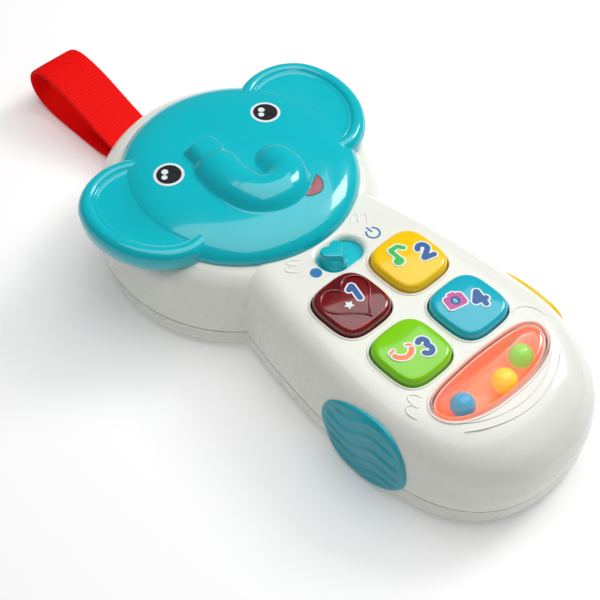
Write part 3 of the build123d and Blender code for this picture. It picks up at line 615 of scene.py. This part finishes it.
def cap(name, place):
    """Cap as rows from the plunger's foot out round the flange, up the wall and in over the top."""
    half = squircle(1.0, 3.3, 120)
    round_plan = half / np.linalg.norm(half, axis=1)[:, None]
    plunger = ((2.2, 24.2), (3.0, 24.4), (3.2, 25.0), (3.2, 27.1))
    rows = [at(round_plan * radius, height) for radius, height in plunger]
    wall = ((10.2, 27.4), (10.4, 27.6), (10.4, 28.6), (10.2, 28.8), (9.78, 29.0), (9.72, 30.0), (9.6, 31.4))
    rows += [at(half * size, height) for size, height in wall]
    sizes = 9.52 - 1.5 * (1 - np.cos(np.linspace(0, pi / 2, 12)))
    heights = 32.15 + 1.4 * np.sin(np.linspace(0, pi / 2, 12))
    rows += [at(half * size, height + 0.09 * (9.52 - size) / 1.5) for size, height in zip(sizes, heights)]
    for share in np.linspace(0.93, 0.06, 14):
        ring = half * 8.02 * share
        lift = 33.64 + (1 - share ** 2) * 0.36
        rows.append(at(ring, lift))
    rows = np.array(rows)
    rows[:, :, :2] += place
    return smooth(skin(name, rows, "fan", "fan"), 40.0)


def clear_red():
    """Red see-through plastic with a sparkling dotted pattern moulded inside and dark edges."""
    paint = Paint("clear_red_plastic")
    pattern = {"Vector": paint.place(), "Scale": 1500.0, "Randomness": 0.2}
    cells = paint.node("ShaderNodeTexVoronoi", None, pattern)
    dots = cells.between(0.22, 0.40)
    cloud = paint.noise(160.0, 3.0).between(0.35, 0.65)
    deep, bright = screen(92, 0, 6), screen(190, 0, 16)
    colour = paint.mix(dots * 0.8 + cloud * 0.2, bright, deep)
    return paint.finish(Base_Color=colour, Roughness=cloud * 0.06 + 0.10, IOR=1.45, Coat_Weight=0.7,
                        Coat_Roughness=0.03,
                        Normal=paint.relief(dots, 0.00004, 0.5))


key_plastic = {
    "red": clear_red(),
    "yellow": moulded("yellow_plastic", screen(255, 208, 0), 0.16, 0.6),
    "green": moulded("green_plastic", screen(132, 216, 0), 0.16, 0.8),
    "blue": moulded("blue_plastic", screen(0, 182, 204), 0.16, 0.8),
}
for key, place in key_places.items():
    piece = cap(f"{key}_cap", place)
    dress(piece, key_plastic[key], f"{key}_key")
    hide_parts(f"{key}_button")


def stroke(name, path, width, low, high):
    """Flat printed line with round ends, one row of four points at each step along its path.

    The half circle at each end narrows the rows by the cosine law. The top rises by a hair along
    the path, so that a line which crosses itself stays in layers.
    """
    path = np.asarray(path, dtype=float)
    along = np.gradient(path, axis=0)
    along /= np.linalg.norm(along, axis=1)[:, None]
    swing = np.linspace(0.12, pi / 2, 7)[:-1]
    start = path[0] - along[0] * width / 2 * np.cos(swing)[:, None]
    finish = (path[-1] + along[-1] * width / 2 * np.cos(swing)[:, None])[::-1]
    places = np.vstack([start, path, finish])
    heading = np.vstack([np.repeat(along[:1], 6, axis=0), along, np.repeat(along[-1:], 6, axis=0)])
    half = np.concatenate([np.sin(swing), np.ones(len(path)), np.sin(swing)[::-1]])[:, None] * width / 2
    left = np.column_stack([-heading[:, 1], heading[:, 0]]) * half
    lift = np.linspace(0, 0.012, len(places))
    rows = np.stack([at(places + left, low), at(places + left, high + lift),
                     at(places - left, high + lift), at(places - left, low)], axis=1)
    return smooth(skin(name, rows, "flat", "flat"), 40.0)


def bent(points, count=60, soft=6):
    """Line through corner points with its corners rounded by repeated averaging, evenly spaced."""
    line = spread(points, count)
    for _ in range(soft):
        line[1:-1] = (line[:-2] + 2 * line[1:-1] + line[2:]) / 4
    return line


def flowing(points, count=60):
    """Open smooth curve through points, evenly spaced; a mirrored point is added past each end."""
    p = np.asarray(points, dtype=float)
    p = np.vstack([2 * p[0] - p[1], p, 2 * p[-1] - p[-2]])
    return spread(catmull(p)[24:-47], count)


def turned(points, place, size, lean):
    """Points of a mark, scaled, leaned over and moved to their place on the toy."""
    c, s = cos(radians(lean)), sin(radians(lean))
    return np.asarray(points) * size @ np.array([[c, s], [-s, c]]) + place


def ring_arc(centre, radius, start, end, count=30):
    """Points on an arc from one angle to another, in degrees."""
    turn = np.radians(np.linspace(start, end, count))
    return np.asarray(centre) + radius * np.column_stack([np.cos(turn), np.sin(turn)])


DIGITS = {
    "1": [bent([(-0.30, 0.34), (0.05, 0.62), (0.05, -0.62)], 50, 3)],
    "2": [np.vstack([ring_arc((0, 0.28), 0.36, 170, -30),
                     bent([(0.30, 0.08), (-0.38, -0.58), (0.46, -0.58)], 40, 2)])],
    "3": [np.vstack([ring_arc((-0.02, 0.32), 0.31, 150, -72), ring_arc((-0.02, -0.31), 0.34, 72, -150)])],
    "4": [bent([(0.44, -0.20), (-0.46, -0.20), (0.12, 0.62), (0.16, 0.62), (0.16, -0.66)], 70, 2)],
}
CAP_TOP = 33.55 + 0.085 + 0.36
blue_ink = ink("blue_ink", screen(0, 84, 152))


def note():
    """Quaver: a stem with a flag to the right, and a round head."""
    return [(bent([(0.62, 0.42), (0.30, 0.72), (-0.34, 0.62), (-0.14, -0.30)], 50, 3), 0.34),
            (bent([(-0.36, -0.50), (-0.24, -0.46)], 8, 0), 0.66)]


def handset():
    """Telephone handset: a curved bar with a short stroke over each end."""
    return [(ring_arc((0.0, 0.45), 0.72, 205, 335), 0.36), (bent([(-0.78, 0.46), (-0.50, 0.58)], 8, 0), 0.17),
            (bent([(0.50, 0.58), (0.78, 0.46)], 8, 0), 0.17)]


def little_camera():
    """Small camera: a body frame with a view-finder on top and a lens."""
    return [(bent([(-0.56, -0.42), (0.56, -0.42), (0.56, 0.32), (-0.56, 0.32), (-0.56, -0.42)], 60, 1), 0.36),
            (bent([(-0.14, 0.56), (0.20, 0.56)], 8, 0), 0.26)]


prints = {
    "red": ("1", (2.5, 1.3), [], None),
    "yellow": ("2", (4.5, -1.6), note(), ink("green_ink", screen(36, 184, 70))),
    "green": ("3", (2.9, -2.2), handset(), ink("orange_ink", screen(255, 128, 60))),
    "blue": ("4", (3.0, -1.0), little_camera(), ink("magenta_ink", screen(200, 70, 150))),
}
picture_places = {"yellow": (-1.9, 2.3), "green": (-3.2, -0.2), "blue": (-2.6, 3.0)}
for key, (digit, place, picture, picture_ink) in prints.items():
    jobs = [(path, 0.42, 4.0, place, -16, blue_ink) for path in DIGITS[digit]]
    jobs += [(path, width, 4.1, picture_places[key], -14, picture_ink) for path, width in picture]
    for number, (path, width, size, where, lean, colour) in enumerate(jobs):
        line = turned(path, key_places[key] + where, size, lean)
        edge = stroke(f"{key}_print_edge_{number}", line, width * size + 0.95, CAP_TOP - 0.25, CAP_TOP + 0.02)
        dress(edge, white_ink, f"{key}_key")
        dress(stroke(f"{key}_print_{number}", line, width * size, CAP_TOP - 0.2, CAP_TOP + 0.06),
              colour, f"{key}_key")
lens_line = turned(ring_arc((0, -0.04), 0.27, 0, 352, 40), key_places["blue"] + (-2.6, 3.0), 4.1, 0)
lens_ring = stroke("blue_print_lens", lens_line, 0.9, CAP_TOP - 0.2, CAP_TOP + 0.09)
dress(lens_ring, blue_ink, "blue_key")
star_reach = (1.5, 0.85)
star = np.vstack([ring_arc((0, 0), star_reach[k % 2], 90 + 36 * k, 90 + 36 * k, 1) for k in range(10)])
star = loop_through(star, 80) + key_places["red"] + (-2.0, -0.9)
dress(smooth(prism(star, CAP_TOP - 0.2, CAP_TOP + 0.05, "red_print_star"), 40.0), white_ink, "red_key")


def heart(size, count=140):
    """Closed heart outline with its lobes towards +Y, counter-clockwise."""
    t = np.linspace(0, 2 * pi, count, endpoint=False)
    x = 16 * np.sin(t) ** 3
    y = 13 * np.cos(t) - 5 * np.cos(2 * t) - 2 * np.cos(3 * t) - np.cos(4 * t)
    loop = np.column_stack([x, y + 2.5])[::-1] / 16 * size
    for _ in range(3):
        loop = (np.roll(loop, 1, axis=0) + 2 * loop + np.roll(loop, -1, axis=0)) / 4
    return loop


ridge = [(0.30 * cos(t), CAP_TOP + 0.22 * sin(t)) for t in np.linspace(pi, 0, 7)]
panel = collar("red_heart_ridge", spread(heart(8.0), 160, closed=True) + key_places["red"] + (0, -0.4),
               [(-0.30, CAP_TOP - 0.3), *ridge, (0.30, CAP_TOP - 0.3)])
dress(panel, key_plastic["red"], "red_key")

# ---- Power slide -----------------------------------------------------------
# A turquoise plate slides under the oblong opening and carries a tall heart-shaped knob. A dot
# and a power mark are printed on the casing at the two ends of its travel.
knob_low, knob_high = (np.array(corner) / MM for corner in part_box("slide_knob"))
knob_middle = np.array([-2.2, SLOT_PLACE[1]])
lever_plate = long_hole(knob_high[0] - knob_low[0], knob_high[1] - knob_low[1]) + middle_of("slide_knob")
plate_rows = [at(lever_plate, 27.1), at(lever_plate, 28.55),
              at(lever_plate - outward(lever_plate) * 0.15, 28.7)]
slide = smooth(skin("slide_plate", plate_rows, "flat", "flat"))
knob = spread(heart(3.9), 140, closed=True)
knob = knob[np.argsort(np.arctan2(knob[:, 1], knob[:, 0]))]
knob_foot = knob / np.linalg.norm(knob, axis=1)[:, None] * 4.15
knob_waist = knob_foot * 0.7 + knob * 0.3
knob_rows = [at(knob_foot + (knob_waist - knob_foot) * ease((z - 28.9) / 2.0) + knob_middle, z)
             for z in np.linspace(28.6, 31.2, 8)]
knob_rows += [at(knob_waist + (knob - knob_waist) * ease((z - 31.2) / 1.4) + knob_middle, z)
              for z in np.linspace(31.4, 32.6, 6)]
knob_rows += [at(knob * (1 - 0.14 * (1 - cos(t))) + knob_middle, 32.7 + 0.85 * sin(t))
              for t in np.linspace(0, pi / 2, 8)]
knob_rows += [at(knob * 0.86 * share + knob_middle, 33.55 + 0.05 * (1 - share))
              for share in (0.85, 0.6, 0.35, 0.12)]
heart_knob = smooth(skin("heart_knob", knob_rows, "flat", "fan"), 40.0)
for piece in (slide, heart_knob):
    dress(piece, turquoise, "power_slide")
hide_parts("slide_knob")
azure_ink = ink("azure_ink", screen(0, 112, 176))
dot = circle((-10.4, -44.2), 1.75)
dress(smooth(prism(dot, TOP - 0.1, TOP + 0.05, "off_dot"), 40.0), azure_ink, "casing")
power = np.array([12.4, -44.6])
dress(stroke("on_ring", ring_arc(power, 2.0, 128, 412, 60), 0.55, TOP - 0.1, TOP + 0.05), azure_ink, "casing")
dress(stroke("on_bar", bent([power + (0.0, 0.6), power + (0.0, 2.6)], 12, 0), 0.55, TOP - 0.1, TOP + 0.05),
      azure_ink, "casing")

# ---- Bead rattle -----------------------------------------------------------
# A clear domed window over an orange tray that holds three loose glossy beads. The window is
# welded to the tray and clipped under the cover.
window = window_outline(0.0)
window_out = outward(window)


def dome_rows(inset, top, low, rings=14):
    """Rows up the window's wall and in over its crowned top, drawn in by a distance."""
    middle = window.mean(axis=0)
    loop = window - window_out * inset
    rows = [at(loop, low), at(loop, top - 2.4)]
    rows += [at(loop - window_out * 1.9 * (1 - cos(t)), top - 2.4 + 1.9 * sin(t))
             for t in np.linspace(0.15, pi / 2, 9)]
    shrunk = loop - window_out * 1.9
    rows += [at(middle + (shrunk - middle) * share, top - 0.5 + 0.5 * (1 - share ** 2))
             for share in np.linspace(0.93, 0.04, rings)]
    return rows


outer, inner = dome_rows(0.0, 33.8, 28.6), dome_rows(0.9, 32.9, 28.6)
lens_rows = np.array(outer[::-1] + inner)[::-1]
lens = skin("rattle_window", lens_rows, "fan", "fan")
lens.data.polygons.foreach_set("use_smooth", np.ones(len(lens.data.polygons), dtype=bool))


def clear_plastic():
    """Clear styrene: see-through straight on and mirror-like by Fresnel's law. Its edges are a
    painted light rim: pale pink, and glowing.
    """
    paint = Paint("clear_plastic")
    haze = paint.noise(220.0, 4.0).between(0.4, 0.8)
    ripple = paint.relief(paint.noise(90.0), 0.00005, 0.4)
    through = paint.node("ShaderNodeBsdfTransparent", None, {"Color": (1.0, 0.99, 0.985, 1.0)})
    mirror = paint.node("ShaderNodeBsdfGlossy", None, {"Roughness": haze * 0.04 + 0.03, "Normal": ripple})
    fresnel = paint.node("ShaderNodeFresnel", None, {"IOR": 1.5})
    clear = paint.node("ShaderNodeMixShader", None, {0: fresnel * 0.35, 1: through, 2: mirror})
    # Painted light: the pale pink rim and its glow stand in for the light the window's curved edge catches.
    glowing_pink_rim = paint.node("ShaderNodeBsdfPrincipled", None, {
        "Emission Color": (0.95, 0.80, 0.76, 1.0), "Emission Strength": 0.5,
        "Base Color": paint.mix(haze, (0.86, 0.68, 0.64, 1.0), (0.96, 0.88, 0.86, 1.0)), "Roughness": 0.12,
        "Coat Weight": 0.5})
    edge = paint.node("ShaderNodeLayerWeight", None, {"Blend": 0.25}, output=1)
    mixed = paint.node("ShaderNodeMixShader", None, {0: edge.between(0.1, 0.7) * 0.65, 1: clear, 2: glowing_pink_rim})
    paint.node("ShaderNodeOutputMaterial", None, {"Surface": mixed})
    return paint.material


dress(lens, clear_plastic(), "casing")
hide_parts("rattle_window")

tray_loop = window - window_out * 1.0
tray_inner = tray_loop - window_out * 0.4
tray_middle = window.mean(axis=0)
tray_rows = [at(tray_middle + (tray_loop - tray_middle) * share, 18.6) for share in (0.5, 0.96)]
tray_rows += [at(tray_loop, 19.2), at(tray_loop, 30.7), at(tray_inner, 30.7)]
TRAY_FLOOR, TRAY_CORNER = 20.0, 1.4
tray_rows += [at(tray_inner - window_out * TRAY_CORNER * (1 - cos(t)),
                 TRAY_FLOOR + TRAY_CORNER - TRAY_CORNER * sin(t)) for t in np.linspace(0, pi / 2, 8)]
tray_rows += [at(tray_middle + (tray_inner - window_out * TRAY_CORNER - tray_middle) * share, TRAY_FLOOR)
              for share in (0.8, 0.5, 0.2)]
tray = smooth(skin("rattle_tray", tray_rows, "fan", "fan"), 40.0)
# Painted light: the tray's orange is lightened towards salmon, a painted reflection of the window over it,
# and lit=0.5 is a painted glow for the light the window holds back.
dress(tray, moulded("orange_plastic", screen(255, 132, 92), 0.24, 0.4, lit=0.5), "casing")
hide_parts("rattle_tray")
bead_colour = {"blue": screen(20, 160, 205), "yellow": screen(255, 208, 10), "green": screen(112, 208, 20)}
for name, colour in bead_colour.items():
    low, high = (np.array(corner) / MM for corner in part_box(name + "_bead"))
    centre, radius = (low + high) / 2, (high - low).min() / 2
    lift = np.linspace(-pi / 2, pi / 2, 41)[1:-1]
    seam = 1 + 0.006 * np.exp(-(lift / 0.035) ** 2)
    rows = [at(circle(centre[:2], radius * cos(a) * k, 64), centre[2] + radius * sin(a))
            for a, k in zip(lift, seam)]
    bead = smooth(skin(name + "_ball", rows, "fan", "fan"), 60.0)
    # Painted light: lit=0.3 is a painted glow for the light the window holds back.
    dress(bead, moulded(f"{name}_bead_plastic", colour, 0.12, 0.5, lit=0.3), f"{name}_ball")
    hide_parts(name + "_bead")

# ---- Side grips ------------------------------------------------------------
# Two soft oval pads, turquoise on the left and yellow on the right, set into pockets in the
# flanks. Each stands a little proud and carries S-shaped ribs for the fingers.
GRIP_MIDDLE, GRIP_LONG, GRIP_TALL, GRIP_LEAN, GRIP_POWER = (-87.0, 14.0), 15.6, 13.4, radians(-14.0), 2.4
flank = body[(body[:, 0] > 0) & (body[:, 1] < -30)]
flank = flank[np.argsort(flank[:, 1])]
flank_out = outward(body)[(body[:, 0] > 0) & (body[:, 1] < -30)]
flank_out = flank_out[np.argsort(body[(body[:, 0] > 0) & (body[:, 1] < -30)][:, 1])]
arch = np.linspace(0, pi / 2, 20)
wall_line = np.vstack([[(0.0, z) for z in np.linspace(1.0, 8.0, 8)],
                       [(BULGE * sin(pi * k), 8 + 14 * k) for k in np.linspace(0.05, 0.95, 12)],
                       np.column_stack([-9.5 * (1 - np.cos(arch)), 22 + 9 * np.sin(arch)])])
wall_run = np.concatenate([[0], np.cumsum(np.linalg.norm(np.diff(wall_line, axis=0), axis=1))])


def on_flank(y, run, proud, side):
    """Point on the casing's flank at a distance along it and a distance up it, lifted outward."""
    away, z = (np.interp(run, wall_run, wall_line[:, i]) for i in (0, 1))
    slope_away, slope_z = (np.interp(run + 0.2, wall_run, wall_line[:, i])
                           - np.interp(run - 0.2, wall_run, wall_line[:, i])
                           for i in (0, 1))
    size = np.hypot(slope_away, slope_z)
    out, up = slope_z / size, -slope_away / size
    columns = (flank[:, 0], flank_out[:, 0], flank_out[:, 1])
    x, nx, ny = (np.interp(y, flank[:, 1], column) for column in columns)
    reach = away + out * proud
    return np.stack([side * (x + nx * reach), y + ny * reach, z + up * proud], axis=-1)


def grip(name, side):
    """Pad as rings that shrink to its middle, ribbed by a wave that snakes along the pad."""
    turn = np.linspace(0, 2 * pi, 240, endpoint=False)
    c, s = np.cos(turn), np.sin(turn)
    oval = (np.abs(c) ** GRIP_POWER + np.abs(s) ** GRIP_POWER) ** (-1 / GRIP_POWER)
    u, v = GRIP_LONG * oval * c, GRIP_TALL * oval * s
    roll = np.linspace(0, pi / 2, 7)[1:]
    shares = np.concatenate([[1.0, 1.0], 1 - 0.055 * (1 - np.cos(roll)), np.linspace(0.93, 0.01, 60)])
    base = np.concatenate([[-0.9, 0.1], 0.1 + 0.8 * np.sin(roll), np.full(60, 0.9)])
    u, v = shares[:, None] * u, shares[:, None] * v
    inside = ease((0.92 - shares) / 0.10)[:, None]
    wave = v + 1.5 * np.sin(u / 3.1)
    rib = np.clip(np.cos(2 * pi * wave / 5.0), -0.25, 1) * inside
    y = GRIP_MIDDLE[0] + u * cos(GRIP_LEAN) - v * sin(GRIP_LEAN)
    run = 13.0 + u * sin(GRIP_LEAN) + v * cos(GRIP_LEAN)
    rows = on_flank(y, run, base[:, None] + 0.42 * rib - 0.1 * inside, side)
    rows = rows if side > 0 else rows[:, ::-1]
    return smooth(skin(name, rows, "flat", "fan"), 60.0)


soft = {}
for name, side, colour in (("left", -1, screen(0, 168, 186)), ("right", 1, screen(255, 208, 0))):
    paint = Paint(f"{name}_grip_rubber")
    grain = paint.noise(1500.0, 3.0)
    # On the grips this noise is wear only; no shade is painted here.
    wear_and_groove_shade = paint.noise(90.0, 4.0).between(0.35, 0.7)
    paint.finish(Base_Color=paint.mix(wear_and_groove_shade, tuple(c * 0.9 for c in colour[:3]) + (1.0,), colour),
                 Roughness=wear_and_groove_shade * 0.12 + 0.34, Normal=paint.relief(grain, 0.00003, 0.5), Coat_Weight=0.2,
                 Coat_Roughness=0.2)
    piece = grip(f"{name}_finger_grip", side)
    dress(piece, paint.material, "casing")
    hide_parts(f"{name}_grip")

# ---- Embossed outlines -----------------------------------------------------
# Fine raised lines moulded on the cover draw the elephant's hands beside the slide, its feet
# beside the window and its belly below.


def cover_height(x, y):
    """Height of the body's top: flat, then falling over the rounded edge by the ellipse law."""
    away = np.linalg.norm(np.stack([x, y], axis=-1)[:, None] - body, axis=-1).min(axis=1)
    share = np.clip(1 - away / edge_reach(y), 0, 1)
    return TOP - edge_drop(y) * (1 - np.sqrt(1 - share ** 2))


def welt(name, points, width=0.62, rise=0.28, count=70):
    """Half-round raised line on the cover through points, tapering at its ends."""
    path = flowing(points, count)
    along = np.gradient(path, axis=0)
    along /= np.linalg.norm(along, axis=1)[:, None]
    left = np.column_stack([-along[:, 1], along[:, 0]])
    fade = np.sqrt(np.clip(np.sin(np.linspace(0.02, pi - 0.02, count)) * 3, 0.03, 1))
    rows = []
    for angle in np.linspace(0, pi, 9):
        edge = path + left * (width / 2 * cos(angle) * fade)[:, None]
        rows.append(at(edge, cover_height(path[:, 0], path[:, 1]) + rise * sin(angle) * fade - 0.03))
    rows.append(at(path, cover_height(path[:, 0], path[:, 1]) - 0.3))
    return smooth(skin(name, np.swapaxes(np.array(rows), 0, 1)[:, ::-1], "flat", "flat"), 60.0)


hand = [(10.2, -37.8), (11.8, -36.4), (13.4, -35.6), (14.1, -36.3), (13.4, -37.4), (12.3, -38.5),
        (13.9, -37.7), (15.5, -37.3), (16.1, -38.1), (15.3, -39.4), (13.6, -40.8)]
foot = [(20.2, -94.6), (20.9, -92.4), (22.4, -91.6), (23.5, -92.9), (23.3, -96.0), (24.0, -94.2),
        (25.5, -93.8), (26.4, -95.4), (25.9, -98.4)]
right_foot = [(18.6, -92.3), (21.2, -91.5), (23.8, -92.8), (25.6, -95.8), (26.0, -98.8)]
lines = {"left_hand": (hand, -1), "right_hand": (hand, 1),
         "left_foot": (foot, -1), "right_foot": (right_foot, 1)}
for part, (points, side) in lines.items():
    dress(welt(f"{part}_line", np.array(points) * (side, 1)), white_plastic, "casing")
for number, drop in enumerate((2.6, 5.0)):
    belly = ring_arc((0.0, -84.0), 27.0 + drop, 232, 308, 60)
    dress(welt(f"belly_line_{number}", belly, 0.5, 0.12, 120), white_plastic, "casing")

# ---- Carrying strap --------------------------------------------------------
# One length of red ribbed webbing, folded into a loop. Both ends go in through the slot at the
# top of the head, where they are sewn together round a steel pin.
STRAP_WIDTH, STRAP_THICK = 16.5, 1.5
loop_line = [(37.0, 7.6), (45.4, 7.5), (50.2, 7.6), (62.0, 10.9), (76.0, 15.7), (87.0, 17.4), (93.8, 15.4),
             (96.7, 9.6), (93.8, 3.6), (85.0, 1.2), (57.0, 1.2), (50.2, 5.6), (45.4, 5.7), (37.0, 5.6)]
line = spread(np.array(loop_line), 400)
for _ in range(260):
    line[1:-1] = (line[:-2] + 2 * line[1:-1] + line[2:]) / 4
line = spread(line, 500)
along = np.gradient(line, axis=0)
along /= np.linalg.norm(along, axis=1)[:, None]
upward_side = np.column_stack([-along[:, 1], along[:, 0]])
run = np.concatenate([[0], np.cumsum(np.linalg.norm(np.diff(line, axis=0), axis=1))])
rib = 0.10 * np.cos(2 * pi * run / 1.3)
corner = np.linspace(0, 2 * pi, 44, endpoint=False)
wide = np.sign(np.cos(corner)) * np.abs(np.cos(corner)) ** 0.35
thick = np.sign(np.sin(corner)) * np.abs(np.sin(corner)) ** 0.35
half_thick = (STRAP_THICK / 2 - 0.1 + rib)[:, None]
y = line[:, :1] + upward_side[:, :1] * half_thick * thick
z = line[:, 1:] + upward_side[:, 1:] * half_thick * thick
x = np.broadcast_to(wide * STRAP_WIDTH / 2, y.shape)
band = skin("webbing_strap", np.stack([x, y, z], axis=-1), "flat", "flat")
smooth(band, 60.0)


def webbing():
    """Ribbed polypropylene webbing, in metres along and across in its UV map.

    Crosswise ribs every 1.3 mm come from the mesh; the yarn over each rib is a row of small
    stitches, and a thin fuzz breaks up the colour. The colour is darker in the grooves between
    the stitches and lighter on their crests, which is painted shade.
    """
    paint = Paint("red_webbing")
    where = paint.node("ShaderNodeUVMap", {"uv_map": "weave"})
    parts = paint.node("ShaderNodeSeparateXYZ", None, {"Vector": where})
    across_it = Wire(paint, parts.socket.node.outputs[0])
    along_it = Wire(paint, parts.socket.node.outputs[1])
    yarn = (across_it * (2 * pi / 0.0011)).math("SINE") * 0.5 + 0.5
    ribs = (along_it * (2 * pi / 0.0013)).math("COSINE") * 0.5 + 0.5
    fuzz = paint.noise(2600.0, 4.0)
    stitch = yarn * ribs
    # Painted shade: darker red in the grooves between the stitches, lighter red on their crests; the fuzz is
    # a random tone of the yarn.
    wear_and_groove_shade = paint.mix(stitch * 0.75 + fuzz * 0.25, screen(232, 0, 0), screen(255, 20, 8))
    return paint.finish(Base_Color=wear_and_groove_shade, Roughness=fuzz * 0.15 + 0.6, Specular_IOR_Level=0.12,
                        Normal=paint.relief(yarn * ribs + fuzz * 0.3, 0.00012, 0.8))


weave = band.data.uv_layers.new(name="weave")
corners = np.empty(len(band.data.loops), dtype=int)
band.data.loops.foreach_get("vertex_index", corners)
flat = np.stack([x * MM, np.broadcast_to((run * MM)[:, None], x.shape)], axis=-1).reshape(-1, 2)
weave.data.foreach_set("uv", flat[corners].ravel())
band.data.materials.append(webbing())
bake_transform(band)
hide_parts("strap_loop", "strap_tail")

# ---- Inside ----------------------------------------------------------------
# What the shells hide: a grey silicone keypad mat, a green board with its lamp and slide
# switch, a small loudspeaker, two AAA cells with their contacts, and plated steel screws.


def steel(name, colour, roughness=0.28):
    """Plated steel: brushed in fine streaks, with a little grime in the finish."""
    paint = Paint(name)
    streak = paint.node("ShaderNodeMapping", None, {"Vector": paint.place(), "Scale": (1.0, 1.0, 14.0)})
    grain = paint.noise(600.0, 4.0, streak)
    grime = paint.noise(160.0, 3.0).between(0.4, 0.8)
    dark = tuple(c * 0.6 for c in colour[:3]) + (1.0,)
    return paint.finish(Base_Color=paint.mix(grime * 0.5, colour, dark), Metallic=1.0,
                        Roughness=grain * 0.2 + roughness, Normal=paint.relief(grain, 0.00002, 0.4))


def printed_board():
    """Green board: darker copper tracks run under the lacquer in a grid that noise breaks up."""
    paint = Paint("printed_board")
    pattern = {"Vector": paint.place(), "Scale": 260.0}
    grid = paint.node("ShaderNodeTexVoronoi", {"distance": "CHEBYCHEV"}, pattern)
    track = grid.between(0.40, 0.46)
    spots = paint.noise(340.0, 2.0).between(0.45, 0.6)
    lacquer = paint.mix(track * 0.6 + spots * 0.2, screen(18, 104, 60), screen(10, 66, 40))
    return paint.finish(Base_Color=lacquer, Roughness=spots * 0.1 + 0.3,
                        Normal=paint.relief(track, 0.00003, 0.6), Coat_Weight=0.4)


def silicone():
    """Grey silicone rubber: matt, faintly translucent, dusted."""
    paint = Paint("grey_silicone")
    dust = paint.noise(400.0, 5.0).between(0.4, 0.8)
    return paint.finish(Base_Color=paint.mix(dust, screen(176, 178, 176), screen(206, 208, 206)),
                        Roughness=dust * 0.15 + 0.5, Subsurface_Weight=0.1, Subsurface_Scale=0.5,
                        Subsurface_Radius=(0.002, 0.002, 0.002))


def cell_jacket():
    """Plain battery jacket: a copper-coloured band at the plus end and black film elsewhere."""
    paint = Paint("cell_jacket")
    parts = paint.node("ShaderNodeSeparateXYZ", None, {"Vector": paint.place()})
    along_cell = Wire(paint, parts.socket.node.outputs[1])
    band = along_cell.between(-0.0575, -0.0570)
    scuff = paint.noise(500.0, 4.0).between(0.5, 0.8)
    film_colour = paint.mix(band, screen(30, 32, 36), screen(196, 120, 60))
    return paint.finish(Base_Color=film_colour, Metallic=band * 0.6,
                        Roughness=scuff * 0.2 + 0.25, Coat_Weight=0.3)


plated = steel("plated_steel", (0.62, 0.62, 0.60, 1.0))
black_plastic = moulded("black_plastic", screen(28, 29, 32), 0.35, 0.2)
looks = {
    "keypad_mat": silicone(), "circuit_board": printed_board(), "slide_switch": black_plastic,
    "switch_lever": black_plastic, "button_light": moulded("lamp_lens", screen(236, 60, 40), 0.12, 0.9),
    "speaker": steel("speaker_basket", (0.30, 0.30, 0.31, 1.0), 0.4), "left_battery": cell_jacket(),
    "battery_plates": steel("nickel_plate", (0.72, 0.70, 0.66, 1.0), 0.22),
}
looks.update({node: plated for node in ("battery_springs", "strap_pin", "case_screws", "board_screws",
                                        "face_screws", "door_screws")})
looks["right_battery"] = looks["left_battery"]
for node, look in looks.items():
    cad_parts[node].data.materials[0] = look
